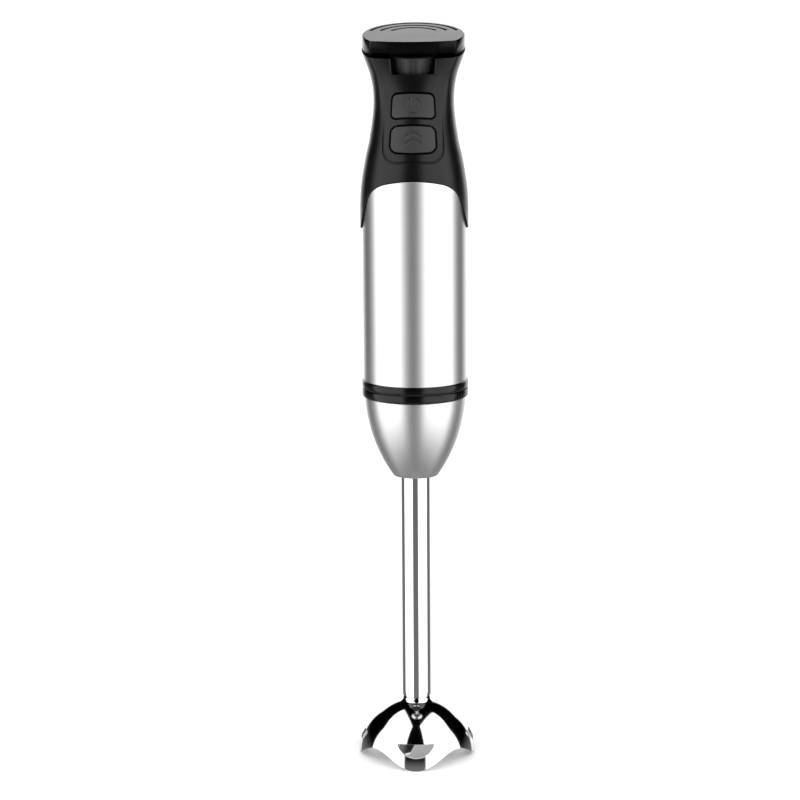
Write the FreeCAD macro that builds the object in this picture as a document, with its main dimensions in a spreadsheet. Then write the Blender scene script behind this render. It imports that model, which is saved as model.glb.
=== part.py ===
import FreeCAD, Part
import math
import os
import Sketcher

Vector = FreeCAD.Vector
Rotation = FreeCAD.Rotation

# An immersion blender that stands on its blade guard.  +Z is up, the front with
# the buttons faces -Y, and the origin is the middle of the guard's rim.  All
# sizes are millimetres and degrees.

doc = FreeCAD.newDocument("immersion_blender")

# ---------------------------------------------------------------------------
# Driving dimensions
# ---------------------------------------------------------------------------

SIZES = {
    # Blade guard, an open half ellipsoid with four lobes on its rim
    "guard_radius": 32.5, "guard_height": 31.7, "guard_wall": 1.2,
    "guard_arch_height": 9.0, "guard_arch_reach": 22.0,
    "window_low": 7.1, "window_high": 14.3, "window_width": 20.0,
    "vent_radius": 2.2, "vent_distance": 12.3,
    "neck_radius": 7.6, "neck_foot": 8.6, "neck_low": 30.0, "neck_high": 33.0,
    # Lower bearing in the guard
    "housing_low": 14.0, "housing_high": 44.0, "housing_radius": 6.95, "nose_radius": 7.5,
    "housing_flange_radius": 9.5, "housing_flange_low": 25.5, "housing_flange_high": 28.8,
    "bush_radius": 4.5, "lower_bush_low": 24.0, "lower_bush_high": 38.0,
    "seal_radius": 5.9, "seal_low": 14.6, "seal_high": 18.6,
    # Shaft tube and shroud
    "tube_radius": 8.03, "tube_wall": 0.98, "tube_low": 33.0, "tube_high": 198.0, "tube_round": 0.8,
    "shroud_low": 160.0, "shroud_high": 204.2, "shroud_mid": 180.9, "shroud_wall": 1.2,
    "shroud_low_radius": 12.36, "shroud_high_radius": 27.37, "shroud_mid_radius": 22.9,
    "carrier_low": 172.0, "carrier_high": 204.2, "carrier_radius": 9.4, "carrier_flange_low": 201.1,
    "carrier_flange_radius": 24.6, "upper_bush_low": 190.0, "upper_bush_high": 204.2,
    "collar_screw_distance": 14.0,
    # Attachment collar, the lower black ring, and its spigot
    "ring_radius": 28.8, "ring_fillet": 0.5,
    "collar_low": 204.4, "collar_high": 208.5, "collar_floor": 206.2,
    "spigot_radius": 21.7, "spigot_bore": 18.0, "spigot_high": 224.0,
    "lug_radius": 22.8, "lug_low": 217.0, "lug_high": 221.0, "lug_angle": 24.0,
    # Rubber seal between the rings
    "coupling_seal_low": 208.55, "coupling_seal_high": 209.15, "coupling_seal_radius": 28.0,
    "coupling_seal_bore": 24.0,
    # Motor collar, the upper black ring, and its socket
    "motor_collar_low": 209.2, "motor_collar_high": 213.0, "motor_collar_fillet": 0.5,
    "socket_radius": 22.0, "socket_outer": 24.7, "socket_top": 230.0, "socket_roof": 233.0,
    "socket_hole": 7.5, "slot_radius": 23.4, "slot_high": 226.0, "slot_angle": 64.0,
    # Motor housing and steel sleeve
    "motor_housing_radius": 26.95, "motor_housing_bore": 24.9, "motor_housing_high": 317.0,
    "sleeve_radius": 27.85, "sleeve_bore": 27.05, "sleeve_high": 324.0,
    # Arch where the grip meets the steel sleeve
    "arch_top": 321.5, "arch_corner": 23.75, "arch_corner_height": 317.0, "arch_foot": 29.6,
    "arch_foot_height": 291.9, "arch_fillet": 14.0, "arch_gap": 0.15,
    # Grip
    "grip_wall": 2.2, "grip_low": 294.0, "grip_skirt_high": 318.0, "grip_skirt_bore": 27.05,
    "groove_depth": 0.6, "groove_width": 1.6, "groove_half": 16.6, "groove_low": -21.6, "groove_high": 6.0,
    "groove_corner": 9.0,
    # Cap
    "cap_tilt": 13.6, "seam_tilt": 17.0, "cap_height": 396.6, "cap_radius": 26.95, "cap_corner": 22.3,
    "cap_front": 17.6, "cap_wall": 2.0, "cap_roof": 2.2, "cap_fillet": 0.7, "cap_gap": 0.15,
    "tab_thickness": 1.4, "tab_inset": 2.0, "tab_low": -11.0, "tab_root_low": -5.0, "tab_half_angle": 8.0,
    "slot_width": 1.2, "slot_spacing": 5.0, "slot_outer": 24.0, "slot_start": 8.2,
    # Speed dial
    "dial_radius": 11.0, "dial_half_height": 4.4, "dial_centre_depth": -2.6, "dial_centre_height": 382.3,
    "dial_window_low": 376.0, "dial_window_high": 385.3,
    "dial_window_top_width": 24.5, "dial_window_bottom_width": 23.1,
    "spindle_radius": 3.0, "potentiometer_radius": 7.5, "potentiometer_length": 5.5,
    # Button panel, a tilted frame on the front of the grip
    "panel_tilt": 17.0, "panel_depth": -19.7, "panel_height": 351.0,
    "button_gap": 0.85, "button_proud": 0.5, "button_thickness": 5.0, "button_travel": 1.6,
    "power_low": 3.2, "power_high": 15.7, "power_low_width": 22.4, "power_high_width": 20.8,
    "power_corner": 2.4,
    "turbo_low": -14.5, "turbo_high": -1.5, "turbo_low_width": 23.8, "turbo_high_width": 22.4,
    "turbo_corner": 3.3, "turbo_sag": 1.1,
    "symbol_depth": 0.3, "symbol_radius": 4.3, "symbol_stroke": 0.7, "chevron_half": 4.2, "chevron_rise": 2.6,
    "stem_radius": 1.5, "stem_length": 3.6, "button_flange": 15.0, "button_flange_lip": 1.5,
    "spring_radius": 2.6, "spring_wire": 0.4, "spring_turns": 4.5,
    "board_depth": 13.4, "board_thickness": 1.6, "board_width": 25.0, "board_low": -19.0, "board_high": 19.0,
    "board_hole_radius": 1.2, "board_hole_distance": 9.5,
    "bridge_width": 44.0, "bridge_thickness": 5.4, "bridge_height": 7.0, "bridge_hole_radius": 1.1,
    # Cord gland at the back of the head
    "gland_radius": 6.0, "gland_bore": 3.6, "gland_inside": 10.0, "gland_outside": 4.3, "gland_flange": 8.0,
    "gland_depth": 26.4, "gland_height": 381.2,
    # Motor
    "shaft_radius": 2.5, "shaft_clearance": 0.03,
    "stator_low": 258.0, "stator_high": 286.0, "stator_radius": 23.4, "stator_window": 17.0,
    "stator_bore": 13.2, "pole_half_angle": 33.0, "coil_half_angle": 78.0,
    "coil_inner": 13.7, "coil_outer": 16.7, "coil_overhang": 3.6,
    "armature_radius": 12.7, "armature_slots": 12.0, "winding_radius": 11.4,
    "commutator_low": 292.0, "commutator_high": 303.0, "commutator_radius": 8.0,
    "fan_low": 244.5, "fan_high": 252.5, "fan_radius": 16.6,
    "lower_bracket_low": 236.0, "lower_bracket_high": 238.5,
    "upper_bracket_low": 304.5, "upper_bracket_high": 307.0, "bracket_vent_distance": 14.5,
    "bracket_radius": 24.4, "bearing_radius": 6.5, "bearing_width": 5.0, "bearing_cup": 8.5,
    "screw_distance": 20.5, "screw_radius": 1.5, "post_radius": 3.3,
    "rotor_shaft_low": 216.0, "rotor_shaft_high": 311.0,
    # Drive coupling
    "coupler_low": 213.0, "coupler_high": 227.0, "coupler_core": 3.4, "coupler_tip": 5.0, "coupler_vane": 1.6,
    "dog_low": 206.5, "dog_high": 218.5, "dog_radius": 7.5, "dog_bore": 5.5, "dog_floor": 212.0,
    "dog_key": 4.0,
    # Drive shaft and blade
    "drive_shaft_low": 8.2, "drive_shaft_high": 212.0,
    "blade_height": 10.2, "blade_thickness": 1.2, "blade_radius": 24.0, "blade_width": 9.0, "blade_hub": 6.0,
    "blade_bend": 14.0, "blade_heading": -110.0, "blade_nut_low": 6.0, "blade_nut_radius": 4.4,
}

# The shroud's side is one arc through its three rings.
shroud_rings = [Vector(SIZES["shroud_%s_radius" % level], SIZES["shroud_%s" % level], 0)
                for level in ("low", "mid", "high")]
SIZES["shroud_curve"] = Part.Arc(*shroud_rings).toShape().Curve.Radius

sheet = doc.addObject("Spreadsheet::Sheet", "Sizes")
for row, (alias, number) in enumerate(SIZES.items(), start=1):
    sheet.set("A%d" % row, alias)
    sheet.set("B%d" % row, repr(number))
    sheet.setAlias("B%d" % row, alias)
doc.recompute()

# Grip sections from the seam down: height of the section at its sides, half
# width, middle in Y, half width of the front corners, distance of the front
# from the middle, and forward tilt.  The corners fade out as the front bows
# out to the full circle.
GRIP_SECTIONS = (
    (389.2, 27.46, 1.7, 22.4, 18.4, 17.0),
    (384.0, 25.60, 1.9, 20.6, 17.8, 15.0),
    (376.0, 22.95, 2.2, 18.2, 17.3, 10.0),
    (368.0, 21.55, 2.4, 17.2, 17.7, 5.0),
    (361.0, 21.30, 2.3, 16.5, 18.8, 2.0),
    (353.0, 21.95, 1.8, 16.5, 21.2, 0.0),
    (344.0, 23.35, 1.0, 17.0, 23.35, 0.0),
    (334.0, 25.50, 0.4, 18.0, 25.50, 0.0),
    (324.0, 27.35, 0.0, 19.0, 27.35, 0.0),
    (315.0, 28.50, 0.0, 20.0, 28.50, 0.0),
    (306.0, 28.90, 0.0, 20.0, 28.90, 0.0),
    (294.0, 28.90, 0.0, 20.0, 28.90, 0.0),
)

# ---------------------------------------------------------------------------
# Helpers
# ---------------------------------------------------------------------------

parts = {}


def amount(text):
    """The value of a sum such as "tube_radius - tube_wall"."""
    total, sign = 0.0, 1.0
    for word in text.split():
        if word in "+-":
            sign = 1.0 if word == "+" else -1.0
        else:
            total += sign * (SIZES[word] if word in SIZES else float(word))
    return total


def bound(text):
    """The same sum as an expression on the spreadsheet."""
    return " ".join("Sizes." + word if word in SIZES else word for word in text.split())


def keep(name, thing):
    """Name a finished sub-part."""
    thing.Label = name
    parts[name] = thing
    return thing


def cylinder(name, radius, low, high, x=0.0, y=0.0):
    thing = doc.addObject("Part::Cylinder", name)
    thing.Placement.Base = Vector(x, y, amount(low))
    thing.setExpression("Radius", bound(radius))
    thing.setExpression("Height", "(%s) - (%s)" % (bound(high), bound(low)))
    thing.setExpression("Placement.Base.z", bound(low))
    return thing


def block(name, size, centre, low, turn=0.0):
    """A box of size (x, y, z) on a height, its middle at (x, y), turned about Z."""
    thing = doc.addObject("Part::Box", name)
    thing.Length, thing.Width, thing.Height = size
    rotation = Rotation(Vector(0, 0, 1), turn)
    corner = rotation.multVec(Vector(centre[0] - size[0] / 2, centre[1] - size[1] / 2, 0))
    thing.Placement = FreeCAD.Placement(corner + Vector(0, 0, amount(low)), rotation)
    return thing


def cut(name, base, *tools):
    thing = doc.addObject("Part::Cut", name)
    thing.Base = base
    thing.Tool = tools[0] if len(tools) == 1 else fuse(name + "_tools", *tools)
    return thing


def fuse(name, *shapes):
    thing = doc.addObject("Part::MultiFuse", name)
    thing.Shapes = list(shapes)
    return thing


def group(name, *shapes):
    thing = doc.addObject("Part::Compound", name)
    thing.Links = list(shapes)
    return thing


def formed(name, shape):
    """A free-form piece whose shape comes from Part's own functions."""
    thing = doc.addObject("Part::Feature", name)
    place = shape.Placement
    thing.Shape = shape
    thing.Placement = place
    return thing


def ring(name, outer, inner, low, high):
    return turned(name, ((inner, low), (outer, low), (outer, high), (inner, high)))


def turned(name, corners, arcs=None):
    """A body of revolution about Z.  Each corner is a (radius, height) pair of
    sums on the sheet; arcs maps a side's number to the radius of its curve,
    which bulges away from the axis."""
    arcs = arcs or {}
    body = doc.addObject("PartDesign::Body", name)
    sketch = body.newObject("Sketcher::SketchObject", name + "_profile")
    plane = [item for item in body.Origin.OriginFeatures if item.Role == "XZ_Plane"][0]
    sketch.AttachmentSupport = [(plane, "")]
    sketch.MapMode = "FlatFace"
    points = [Vector(amount(radius), amount(height), 0) for radius, height in corners]
    count = len(points)
    for side in range(count):
        start, end = points[side], points[(side + 1) % count]
        if side in arcs:
            sketch.addGeometry(bulge(start, end, amount(arcs[side])), False)
        else:
            sketch.addGeometry(Part.LineSegment(start, end), False)
    # An arc of a circle starts at its end that comes first counter-clockwise.
    falls = [points[side].y > points[(side + 1) % count].y for side in range(count)]
    first = [2 if side in arcs and falls[side] else 1 for side in range(count)]
    for side in range(count):
        following = (side + 1) % count
        sketch.addConstraint(
            Sketcher.Constraint("Coincident", side, 3 - first[side], following, first[following]))
    for side, (radius, height) in enumerate(corners):
        pin(sketch, side, first[side], "DistanceX", radius)
        pin(sketch, side, first[side], "DistanceY", height)
    for side, radius in arcs.items():
        index = sketch.addConstraint(Sketcher.Constraint("Radius", side, amount(radius)))
        sketch.setExpression("Constraints[%d]" % index, bound(radius))
    revolution = body.newObject("PartDesign::Revolution", name + "_turned")
    revolution.Profile = sketch
    revolution.ReferenceAxis = (sketch, ["V_Axis"])
    revolution.Angle = 360.0
    body.Tip = revolution
    return body


def pin(sketch, side, end, kind, text):
    """Hold one end of a side at a distance from the sketch's own axes."""
    if amount(text) == 0.0:
        axis = -2 if kind == "DistanceX" else -1
        sketch.addConstraint(Sketcher.Constraint("PointOnObject", side, end, axis))
        return
    index = sketch.addConstraint(Sketcher.Constraint(kind, side, end, amount(text)))
    sketch.setExpression("Constraints[%d]" % index, bound(text))


def bulge(start, end, radius):
    """The short arc between two points, on the side away from the axis."""
    middle = (start + end) * 0.5
    half = (end - start).Length / 2
    across = Vector(-(end - start).y, (end - start).x, 0)
    across.normalize()
    if across.x < 0:
        across = across * -1
    centre = middle - across * math.sqrt(radius ** 2 - half ** 2)
    crown = centre + across * radius
    return Part.Arc(start, crown, end)


def polar(name, thing, count):
    """Copies of a piece about Z, as one shape."""
    copies = [thing]
    for step in range(1, count):
        doc.recompute()
        shape = thing.Shape.copy()
        shape.rotate(Vector(0, 0, 0), Vector(0, 0, 1), 360.0 * step / count)
        copies.append(formed("%s_%d" % (name, step), shape))
    return copies


def tilted(base, degrees):
    """A frame turned about X, so that its own Z leans forward or back."""
    return FreeCAD.Placement(base, Rotation(Vector(1, 0, 0), degrees))


def sector(inner, outer, low, high, start, end):
    """A piece of a ring between two angles."""
    solid = Part.makeCylinder(outer, high - low, Vector(0, 0, low), Vector(0, 0, 1), end - start)
    solid = solid.cut(Part.makeCylinder(inner, high - low, Vector(0, 0, low)))
    solid.rotate(Vector(0, 0, 0), Vector(0, 0, 1), start)
    return solid


def outline(points, depth_low, depth_high):
    """A solid between two depths whose outline lies in the XZ plane."""
    corners = [Vector(x, depth_low, z) for x, z in points]
    face = Part.Face(Part.makePolygon(corners + corners[:1]))
    return face.extrude(Vector(0, depth_high - depth_low, 0))


def rounded(solid, radius, direction, choose=None):
    """Round the solid's edges that run along a direction."""
    edges = []
    for edge in solid.Edges:
        if edge.Curve.TypeId != "Part::GeomLine":
            continue
        along = edge.Vertexes[1].Point - edge.Vertexes[0].Point
        along.normalize()
        if abs(abs(along.dot(direction)) - 1) < 1e-6 and (choose is None or choose(edge.CenterOfMass)):
            edges.append(edge)
    return solid.makeFillet(radius, edges)


# ---------------------------------------------------------------------------
# Blending attachment
# ---------------------------------------------------------------------------


def make_blade_guard():
    outer = doc.addObject("Part::Ellipsoid", "guard_outside")
    inner = doc.addObject("Part::Ellipsoid", "guard_inside")
    for shell, shift in ((outer, ""), (inner, " - guard_wall")):
        shell.setExpression("Radius1", bound("guard_height" + shift))
        shell.setExpression("Radius2", bound("guard_radius" + shift))
        shell.setExpression("Radius3", bound("guard_radius" + shift))
        shell.Angle1, shell.Angle2 = -20.0, 90.0
    # A narrow neck between the dome and the rounded end of the shaft tube.
    bore = "tube_radius - tube_wall - 0.05"
    neck = turned("guard_neck", ((bore, "neck_low"), ("neck_foot", "neck_low"),
                                 ("neck_radius", "neck_low + 1.6"), ("neck_radius", "neck_high"),
                                 (bore, "neck_high")))
    # The lobes end in flat feet at the height of the origin.
    under = block("guard_under", (80, 80, 20), (0, 0), "-20")
    dome = fuse("guard_dome", cut("guard_skin", outer, inner, under), neck)
    half, height = SIZES["window_width"] / 2, SIZES["window_high"]
    sag = height - SIZES["window_low"]
    reach = SIZES["guard_radius"] + 5
    corners = [Vector(-half, 0, height), Vector(-half, 0, height - 1), Vector(0, 0, height - sag),
               Vector(half, 0, height - 1), Vector(half, 0, height)]
    edges = [Part.LineSegment(corners[0], corners[1]).toShape(), Part.Arc(*corners[1:4]).toShape(),
             Part.LineSegment(corners[3], corners[4]).toShape(),
             Part.LineSegment(corners[4], corners[0]).toShape()]
    window = Part.Face(Part.Wire(edges)).extrude(Vector(0, -reach, 0))
    window = rounded(window, 0.8, Vector(0, 1, 0), lambda middle: middle.z > height - 2)
    windows = polar("guard_window", formed("guard_window", window), 4)
    # Between the lobes the rim rises in a bell curve, half a wave over each gap.
    wave = []
    steps = 12
    for step in range(-steps, steps + 1):
        across = SIZES["guard_arch_reach"] * step / steps
        turn = math.asin(across / SIZES["guard_radius"])
        wave.append(Vector(across, 0, SIZES["guard_arch_height"] * (1 + math.cos(4 * turn)) / 2))
    curve = Part.BSplineCurve()
    curve.interpolate(wave)
    low_right, low_left = Vector(wave[-1].x, 0, -3), Vector(wave[0].x, 0, -3)
    edges = [curve.toShape(), Part.LineSegment(wave[-1], low_right).toShape(),
             Part.LineSegment(low_right, low_left).toShape(), Part.LineSegment(low_left, wave[0]).toShape()]
    arch = Part.Face(Part.Wire(edges)).extrude(Vector(0, -reach, 0))
    arch.rotate(Vector(0, 0, 0), Vector(0, 0, 1), 45)
    arches = polar("guard_arch", formed("guard_arch", arch), 4)
    vents = [cylinder("guard_vent_%s" % side, "vent_radius", "20", "guard_height + 5", 0.0,
                      way * SIZES["vent_distance"]) for side, way in (("front", -1), ("back", 1))]
    shaft_hole = cylinder("guard_shaft_hole", bore, "20", "guard_height + 5")
    keep("blade_guard", cut("blade_guard", dome, shaft_hole, *(windows + arches + vents)))


def make_lower_bearing():
    housing = turned("lower_bearing_housing", (
        ("shaft_radius + 0.6", "seal_high"), ("seal_radius", "seal_high"), ("seal_radius", "housing_low"),
        ("nose_radius", "housing_low"), ("nose_radius", "housing_flange_low"),
        ("housing_flange_radius", "housing_flange_low"), ("housing_flange_radius", "housing_flange_high"),
        ("housing_radius", "housing_flange_high"), ("housing_radius", "housing_high"),
        ("bush_radius", "housing_high"), ("bush_radius", "lower_bush_low"),
        ("shaft_radius + 0.6", "lower_bush_low")))
    keep("lower_bearing_housing", housing)
    keep("lower_bush", ring("lower_bush", "bush_radius", "shaft_radius + shaft_clearance",
                            "lower_bush_low", "lower_bush_high"))
    keep("shaft_seal", turned("shaft_seal", (
        ("shaft_radius + 0.08", "seal_low + 1.2"), ("shaft_radius + 1.2", "seal_low"),
        ("seal_radius", "seal_low"), ("seal_radius", "seal_high"), ("shaft_radius + 1.2", "seal_high"),
        ("shaft_radius + 0.08", "seal_high - 1.2"))))


def make_shaft_tube():
    keep("shaft_tube", turned("shaft_tube", (
        ("tube_radius - tube_wall", "tube_low"), ("tube_radius - tube_round", "tube_low"),
        ("tube_radius", "tube_low + tube_round"), ("tube_radius", "tube_high"),
        ("tube_radius - tube_wall", "tube_high")), {1: "tube_round"}))


def make_steel_shroud():
    shroud = turned("steel_shroud", (
        ("tube_radius + 0.05", "shroud_low"), ("shroud_low_radius", "shroud_low"),
        ("shroud_high_radius", "shroud_high"), ("shroud_high_radius - shroud_wall", "shroud_high"),
        ("shroud_low_radius - 0.3", "shroud_low + shroud_wall"),
        ("tube_radius + 0.05", "shroud_low + shroud_wall")),
        {1: "shroud_curve", 3: "shroud_curve"})
    keep("steel_shroud", shroud)


def make_shaft_carrier():
    bore = "tube_radius - tube_wall - 0.05"
    keep("shaft_carrier", turned("shaft_carrier", (
        ("bush_radius", "carrier_low"), (bore, "carrier_low"), (bore, "tube_high + 0.1"),
        ("carrier_radius", "tube_high + 0.1"), ("carrier_radius", "carrier_flange_low"),
        ("carrier_flange_radius", "carrier_flange_low"), ("carrier_flange_radius", "carrier_high"),
        ("bush_radius", "carrier_high"))))
    keep("upper_bush", ring("upper_bush", "bush_radius", "shaft_radius + shaft_clearance",
                            "upper_bush_low", "upper_bush_high"))


def make_attachment_collar():
    body = turned("attachment_ring", (
        ("carrier_radius", "collar_low"), ("ring_radius - ring_fillet", "collar_low"),
        ("ring_radius", "collar_low + ring_fillet"), ("ring_radius", "collar_high"),
        ("spigot_radius", "collar_high"), ("spigot_radius", "spigot_high"), ("spigot_bore", "spigot_high"),
        ("spigot_bore", "collar_floor"), ("carrier_radius", "collar_floor")), {1: "ring_fillet"})
    half = SIZES["lug_angle"] / 2
    lug = formed("collar_lug", sector(SIZES["spigot_radius"] - 0.5, SIZES["lug_radius"], SIZES["lug_low"],
                                      SIZES["lug_high"], -half, half))
    whole = fuse("attachment_collar_solid", body, *polar("collar_lug", lug, 3))
    holes = [cylinder("collar_hole_%d" % step, "screw_radius", "collar_low - 1", "collar_floor + 1", x, y)
             for step, (x, y) in enumerate(collar_screw_places())]
    keep("attachment_collar", cut("attachment_collar", whole, *holes))


def collar_screw_places():
    distance = SIZES["collar_screw_distance"]
    return [(distance * math.cos(math.radians(angle)), distance * math.sin(math.radians(angle)))
            for angle in (30, 150, 270)]


def make_collar_screws():
    """Three screws through the collar's floor into the carrier's flange."""
    screws = []
    for step, (x, y) in enumerate(collar_screw_places()):
        head = cylinder("collar_screw_head_%d" % step, "post_radius - 0.5", "collar_floor", "collar_floor + 2",
                        x, y)
        shank = cylinder("collar_screw_shank_%d" % step, "screw_radius", "carrier_flange_low + 0.6",
                         "collar_floor", x, y)
        drive = block("collar_screw_drive_%d" % step, (0.8, 4.0, 1.0), (x, y), "collar_floor + 1.2")
        screws.append(cut("collar_screw_%d" % step, fuse("collar_screw_blank_%d" % step, head, shank), drive))
    keep("collar_screws", group("collar_screws", *screws))
    holes = [cylinder("carrier_hole_%d" % step, "screw_radius", "carrier_flange_low + 0.6",
                      "carrier_high + 1", x, y) for step, (x, y) in enumerate(collar_screw_places())]
    keep("shaft_carrier", cut("shaft_carrier_drilled", parts["shaft_carrier"], *holes))


# ---------------------------------------------------------------------------
# Drive shaft and blade
# ---------------------------------------------------------------------------


def make_drive_shaft():
    keep("drive_shaft", cylinder("drive_shaft", "shaft_radius", "drive_shaft_low", "drive_shaft_high"))
    cup = turned("dog_cup", (
        ("shaft_radius", "dog_low"), ("dog_radius", "dog_low"), ("dog_radius", "dog_high"),
        ("dog_bore", "dog_high"), ("dog_bore", "dog_floor"), ("shaft_radius", "dog_floor")))
    length = SIZES["dog_bore"] + 0.5 - SIZES["dog_key"]
    key = block("dog_key", (length, SIZES["coupler_vane"], SIZES["dog_high"] - SIZES["dog_floor"]),
                (SIZES["dog_key"] + length / 2, 0), "dog_floor", 45)
    keep("shaft_coupling", fuse("shaft_coupling", cup, *polar("dog_key", key, 4)))
    keep("retaining_ring", ring("retaining_ring", "shaft_radius + 2", "shaft_radius",
                                "upper_bush_high + 0.4", "upper_bush_high + 1.2"))


def make_blade():
    height, thickness = SIZES["blade_height"], SIZES["blade_thickness"]
    hub = Part.makeCylinder(SIZES["blade_hub"], thickness, Vector(0, 0, height))
    wings = []
    for side, bend in ((0, SIZES["blade_bend"]), (180, -SIZES["blade_bend"])):
        start, length = SIZES["blade_hub"] - 1.0, SIZES["blade_radius"]
        half = SIZES["blade_width"] / 2
        plan = [Vector(start, -half + 1.5, 0), Vector(length - 6, -half, 0), Vector(length, half - 2.5, 0),
                Vector(length - 2, half, 0), Vector(start, half - 0.5, 0)]
        face = Part.Face(Part.makePolygon(plan + plan[:1]))
        wing = face.extrude(Vector(0, 0, thickness))
        # The leading edge is ground to a slope.
        grind = Part.makeBox(length + 5, 6, 3, Vector(0, 0, 0))
        grind.rotate(Vector(0, 0, 0), Vector(1, 0, 0), 32)
        grind.translate(Vector(2, -half - 0.7, 0.25))
        wing = wing.cut(grind)
        wing.rotate(Vector(start, 0, 0), Vector(0, 1, 0), bend)
        wing.translate(Vector(0, 0, height))
        wing.rotate(Vector(0, 0, 0), Vector(0, 0, 1), side + SIZES["blade_heading"])
        wings.append(wing)
    blade = hub.multiFuse(wings).removeSplitter()
    blade = blade.cut(Part.makeCylinder(SIZES["shaft_radius"], 20, Vector(0, 0, 0)))
    keep("blade", formed("blade", blade))


def make_blade_nut():
    radius = SIZES["blade_nut_radius"]
    low, crown = SIZES["blade_nut_low"], 1.0
    corners = [Vector(radius, 0, low + crown)]
    for step in range(1, 6):
        angle = math.radians(60 * step)
        corners.append(Vector(radius * math.cos(angle), radius * math.sin(angle), low + crown))
    nut = Part.Face(Part.makePolygon(corners + corners[:1]))
    nut = nut.extrude(Vector(0, 0, SIZES["blade_height"] - low - crown))
    dome = Part.makeCylinder(radius - 0.7, crown, Vector(0, 0, low))
    lowest = [edge for edge in dome.Edges if edge.CenterOfMass.z < low + 0.01]
    nut = nut.fuse(dome.makeFillet(0.7, lowest)).removeSplitter()
    pocket = Part.makeCylinder(SIZES["shaft_radius"], 20, Vector(0, 0, SIZES["drive_shaft_low"]))
    keep("blade_nut", formed("blade_nut", nut.cut(pocket)))
    keep("thrust_washer", ring("thrust_washer", "shaft_radius + 2.4", "shaft_radius",
                               "blade_height + blade_thickness", "housing_low - 0.4"))


# ---------------------------------------------------------------------------
# Coupling between the two units
# ---------------------------------------------------------------------------


def make_coupling_seal():
    keep("coupling_seal", ring("coupling_seal", "coupling_seal_radius", "coupling_seal_bore",
                               "coupling_seal_low", "coupling_seal_high"))


def make_motor_collar():
    body = turned("motor_ring", (
        ("socket_radius", "motor_collar_low"), ("ring_radius", "motor_collar_low"),
        ("ring_radius", "motor_collar_high - motor_collar_fillet"),
        ("ring_radius - motor_collar_fillet", "motor_collar_high"), ("socket_outer", "motor_collar_high"),
        ("socket_outer", "socket_roof"), ("socket_hole", "socket_roof"), ("socket_hole", "socket_top"),
        ("socket_radius", "socket_top")), {2: "motor_collar_fillet"})
    half = SIZES["slot_angle"] / 2
    shift = (SIZES["slot_angle"] - SIZES["lug_angle"]) / 2 - 3
    slot = formed("socket_slot", sector(SIZES["socket_radius"] - 1, SIZES["slot_radius"],
                                        SIZES["motor_collar_low"] - 1, SIZES["slot_high"],
                                        shift - half, shift + half))
    keep("motor_collar", cut("motor_collar", body, *polar("socket_slot", slot, 3)))


def make_drive_coupler():
    core = cylinder("coupler_core_solid", "coupler_core", "coupler_low", "coupler_high")
    size = (2 * SIZES["coupler_tip"], SIZES["coupler_vane"], SIZES["coupler_high"] - SIZES["coupler_low"])
    vanes = [block("coupler_vane_%d" % turn, size, (0, 0), "coupler_low", turn) for turn in (0, 90)]
    bore = cylinder("coupler_bore", "shaft_radius", "rotor_shaft_low", "coupler_high + 1")
    keep("drive_coupler", cut("drive_coupler", fuse("coupler_star", core, *vanes), bore))


# ---------------------------------------------------------------------------
# Motor
# ---------------------------------------------------------------------------


def screw_places(turn=45):
    distance = SIZES["screw_distance"]
    return [(distance * math.cos(math.radians(angle)), distance * math.sin(math.radians(angle)))
            for angle in (turn, turn + 180)]


def make_stator():
    low, high = SIZES["stator_low"], SIZES["stator_high"]
    pole_half, coil_half = SIZES["pole_half_angle"], SIZES["coil_half_angle"]
    core = sector(SIZES["stator_window"], SIZES["stator_radius"], low, high, 0, 360)
    for middle in (90, 270):
        core = core.fuse(sector(SIZES["stator_bore"], SIZES["stator_window"] + 1, low, high,
                                middle - pole_half, middle + pole_half))
    for x, y in screw_places() + screw_places(135):
        core = core.cut(Part.makeCylinder(SIZES["screw_radius"] + 0.1, high - low, Vector(x, y, low)))
    keep("stator_core", formed("stator_core", core.removeSplitter()))
    coils = []
    reach = SIZES["coil_overhang"]
    for middle in (90, 270):
        coil = sector(SIZES["coil_inner"], SIZES["coil_outer"], low - reach, high + reach,
                      middle - coil_half, middle + coil_half)
        pole = sector(SIZES["stator_bore"], SIZES["stator_window"] + 2, low - 0.2, high + 0.2,
                      middle - pole_half - 1.5, middle + pole_half + 1.5)
        coils.append(coil.cut(pole))
    keep("field_coils", formed("field_coils", Part.makeCompound(coils)))


def make_armature():
    low, high = SIZES["stator_low"], SIZES["stator_high"]
    slots = int(SIZES["armature_slots"])
    core = Part.makeCylinder(SIZES["armature_radius"], high - low, Vector(0, 0, low))
    distance, slot_radius = SIZES["armature_radius"] - 2.4, 1.5
    wires = []
    for step in range(slots):
        angle = math.radians(360 * step / slots)
        x, y = distance * math.cos(angle), distance * math.sin(angle)
        slot = Part.makeCylinder(slot_radius, high - low, Vector(x, y, low))
        mouth = Part.makeBox(3, 0.9, high - low, Vector(distance, -0.45, low))
        mouth.rotate(Vector(0, 0, 0), Vector(0, 0, 1), 360 * step / slots)
        core = core.cut(slot.fuse(mouth))
        wires.append(Part.makeCylinder(slot_radius - 0.15, high - low + 1, Vector(x, y, low - 0.5)))
    core = core.cut(Part.makeCylinder(SIZES["shaft_radius"], 200, Vector(0, 0, 200)))
    keep("armature_core", formed("armature_core", core))
    ends = []
    for base in (low - 3.4, high + 0.2):
        end = Part.makeCylinder(SIZES["winding_radius"] + 0.3, 3.2, Vector(0, 0, base))
        end = end.makeFillet(1.2, [edge for edge in end.Edges if edge.Curve.TypeId == "Part::GeomCircle"])
        ends.append(end)
    winding = ends[0].multiFuse(ends[1:] + wires)
    winding = winding.cut(Part.makeCylinder(SIZES["shaft_radius"] + 0.4, 200, Vector(0, 0, 200)))
    keep("armature_winding", formed("armature_winding", winding))


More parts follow.
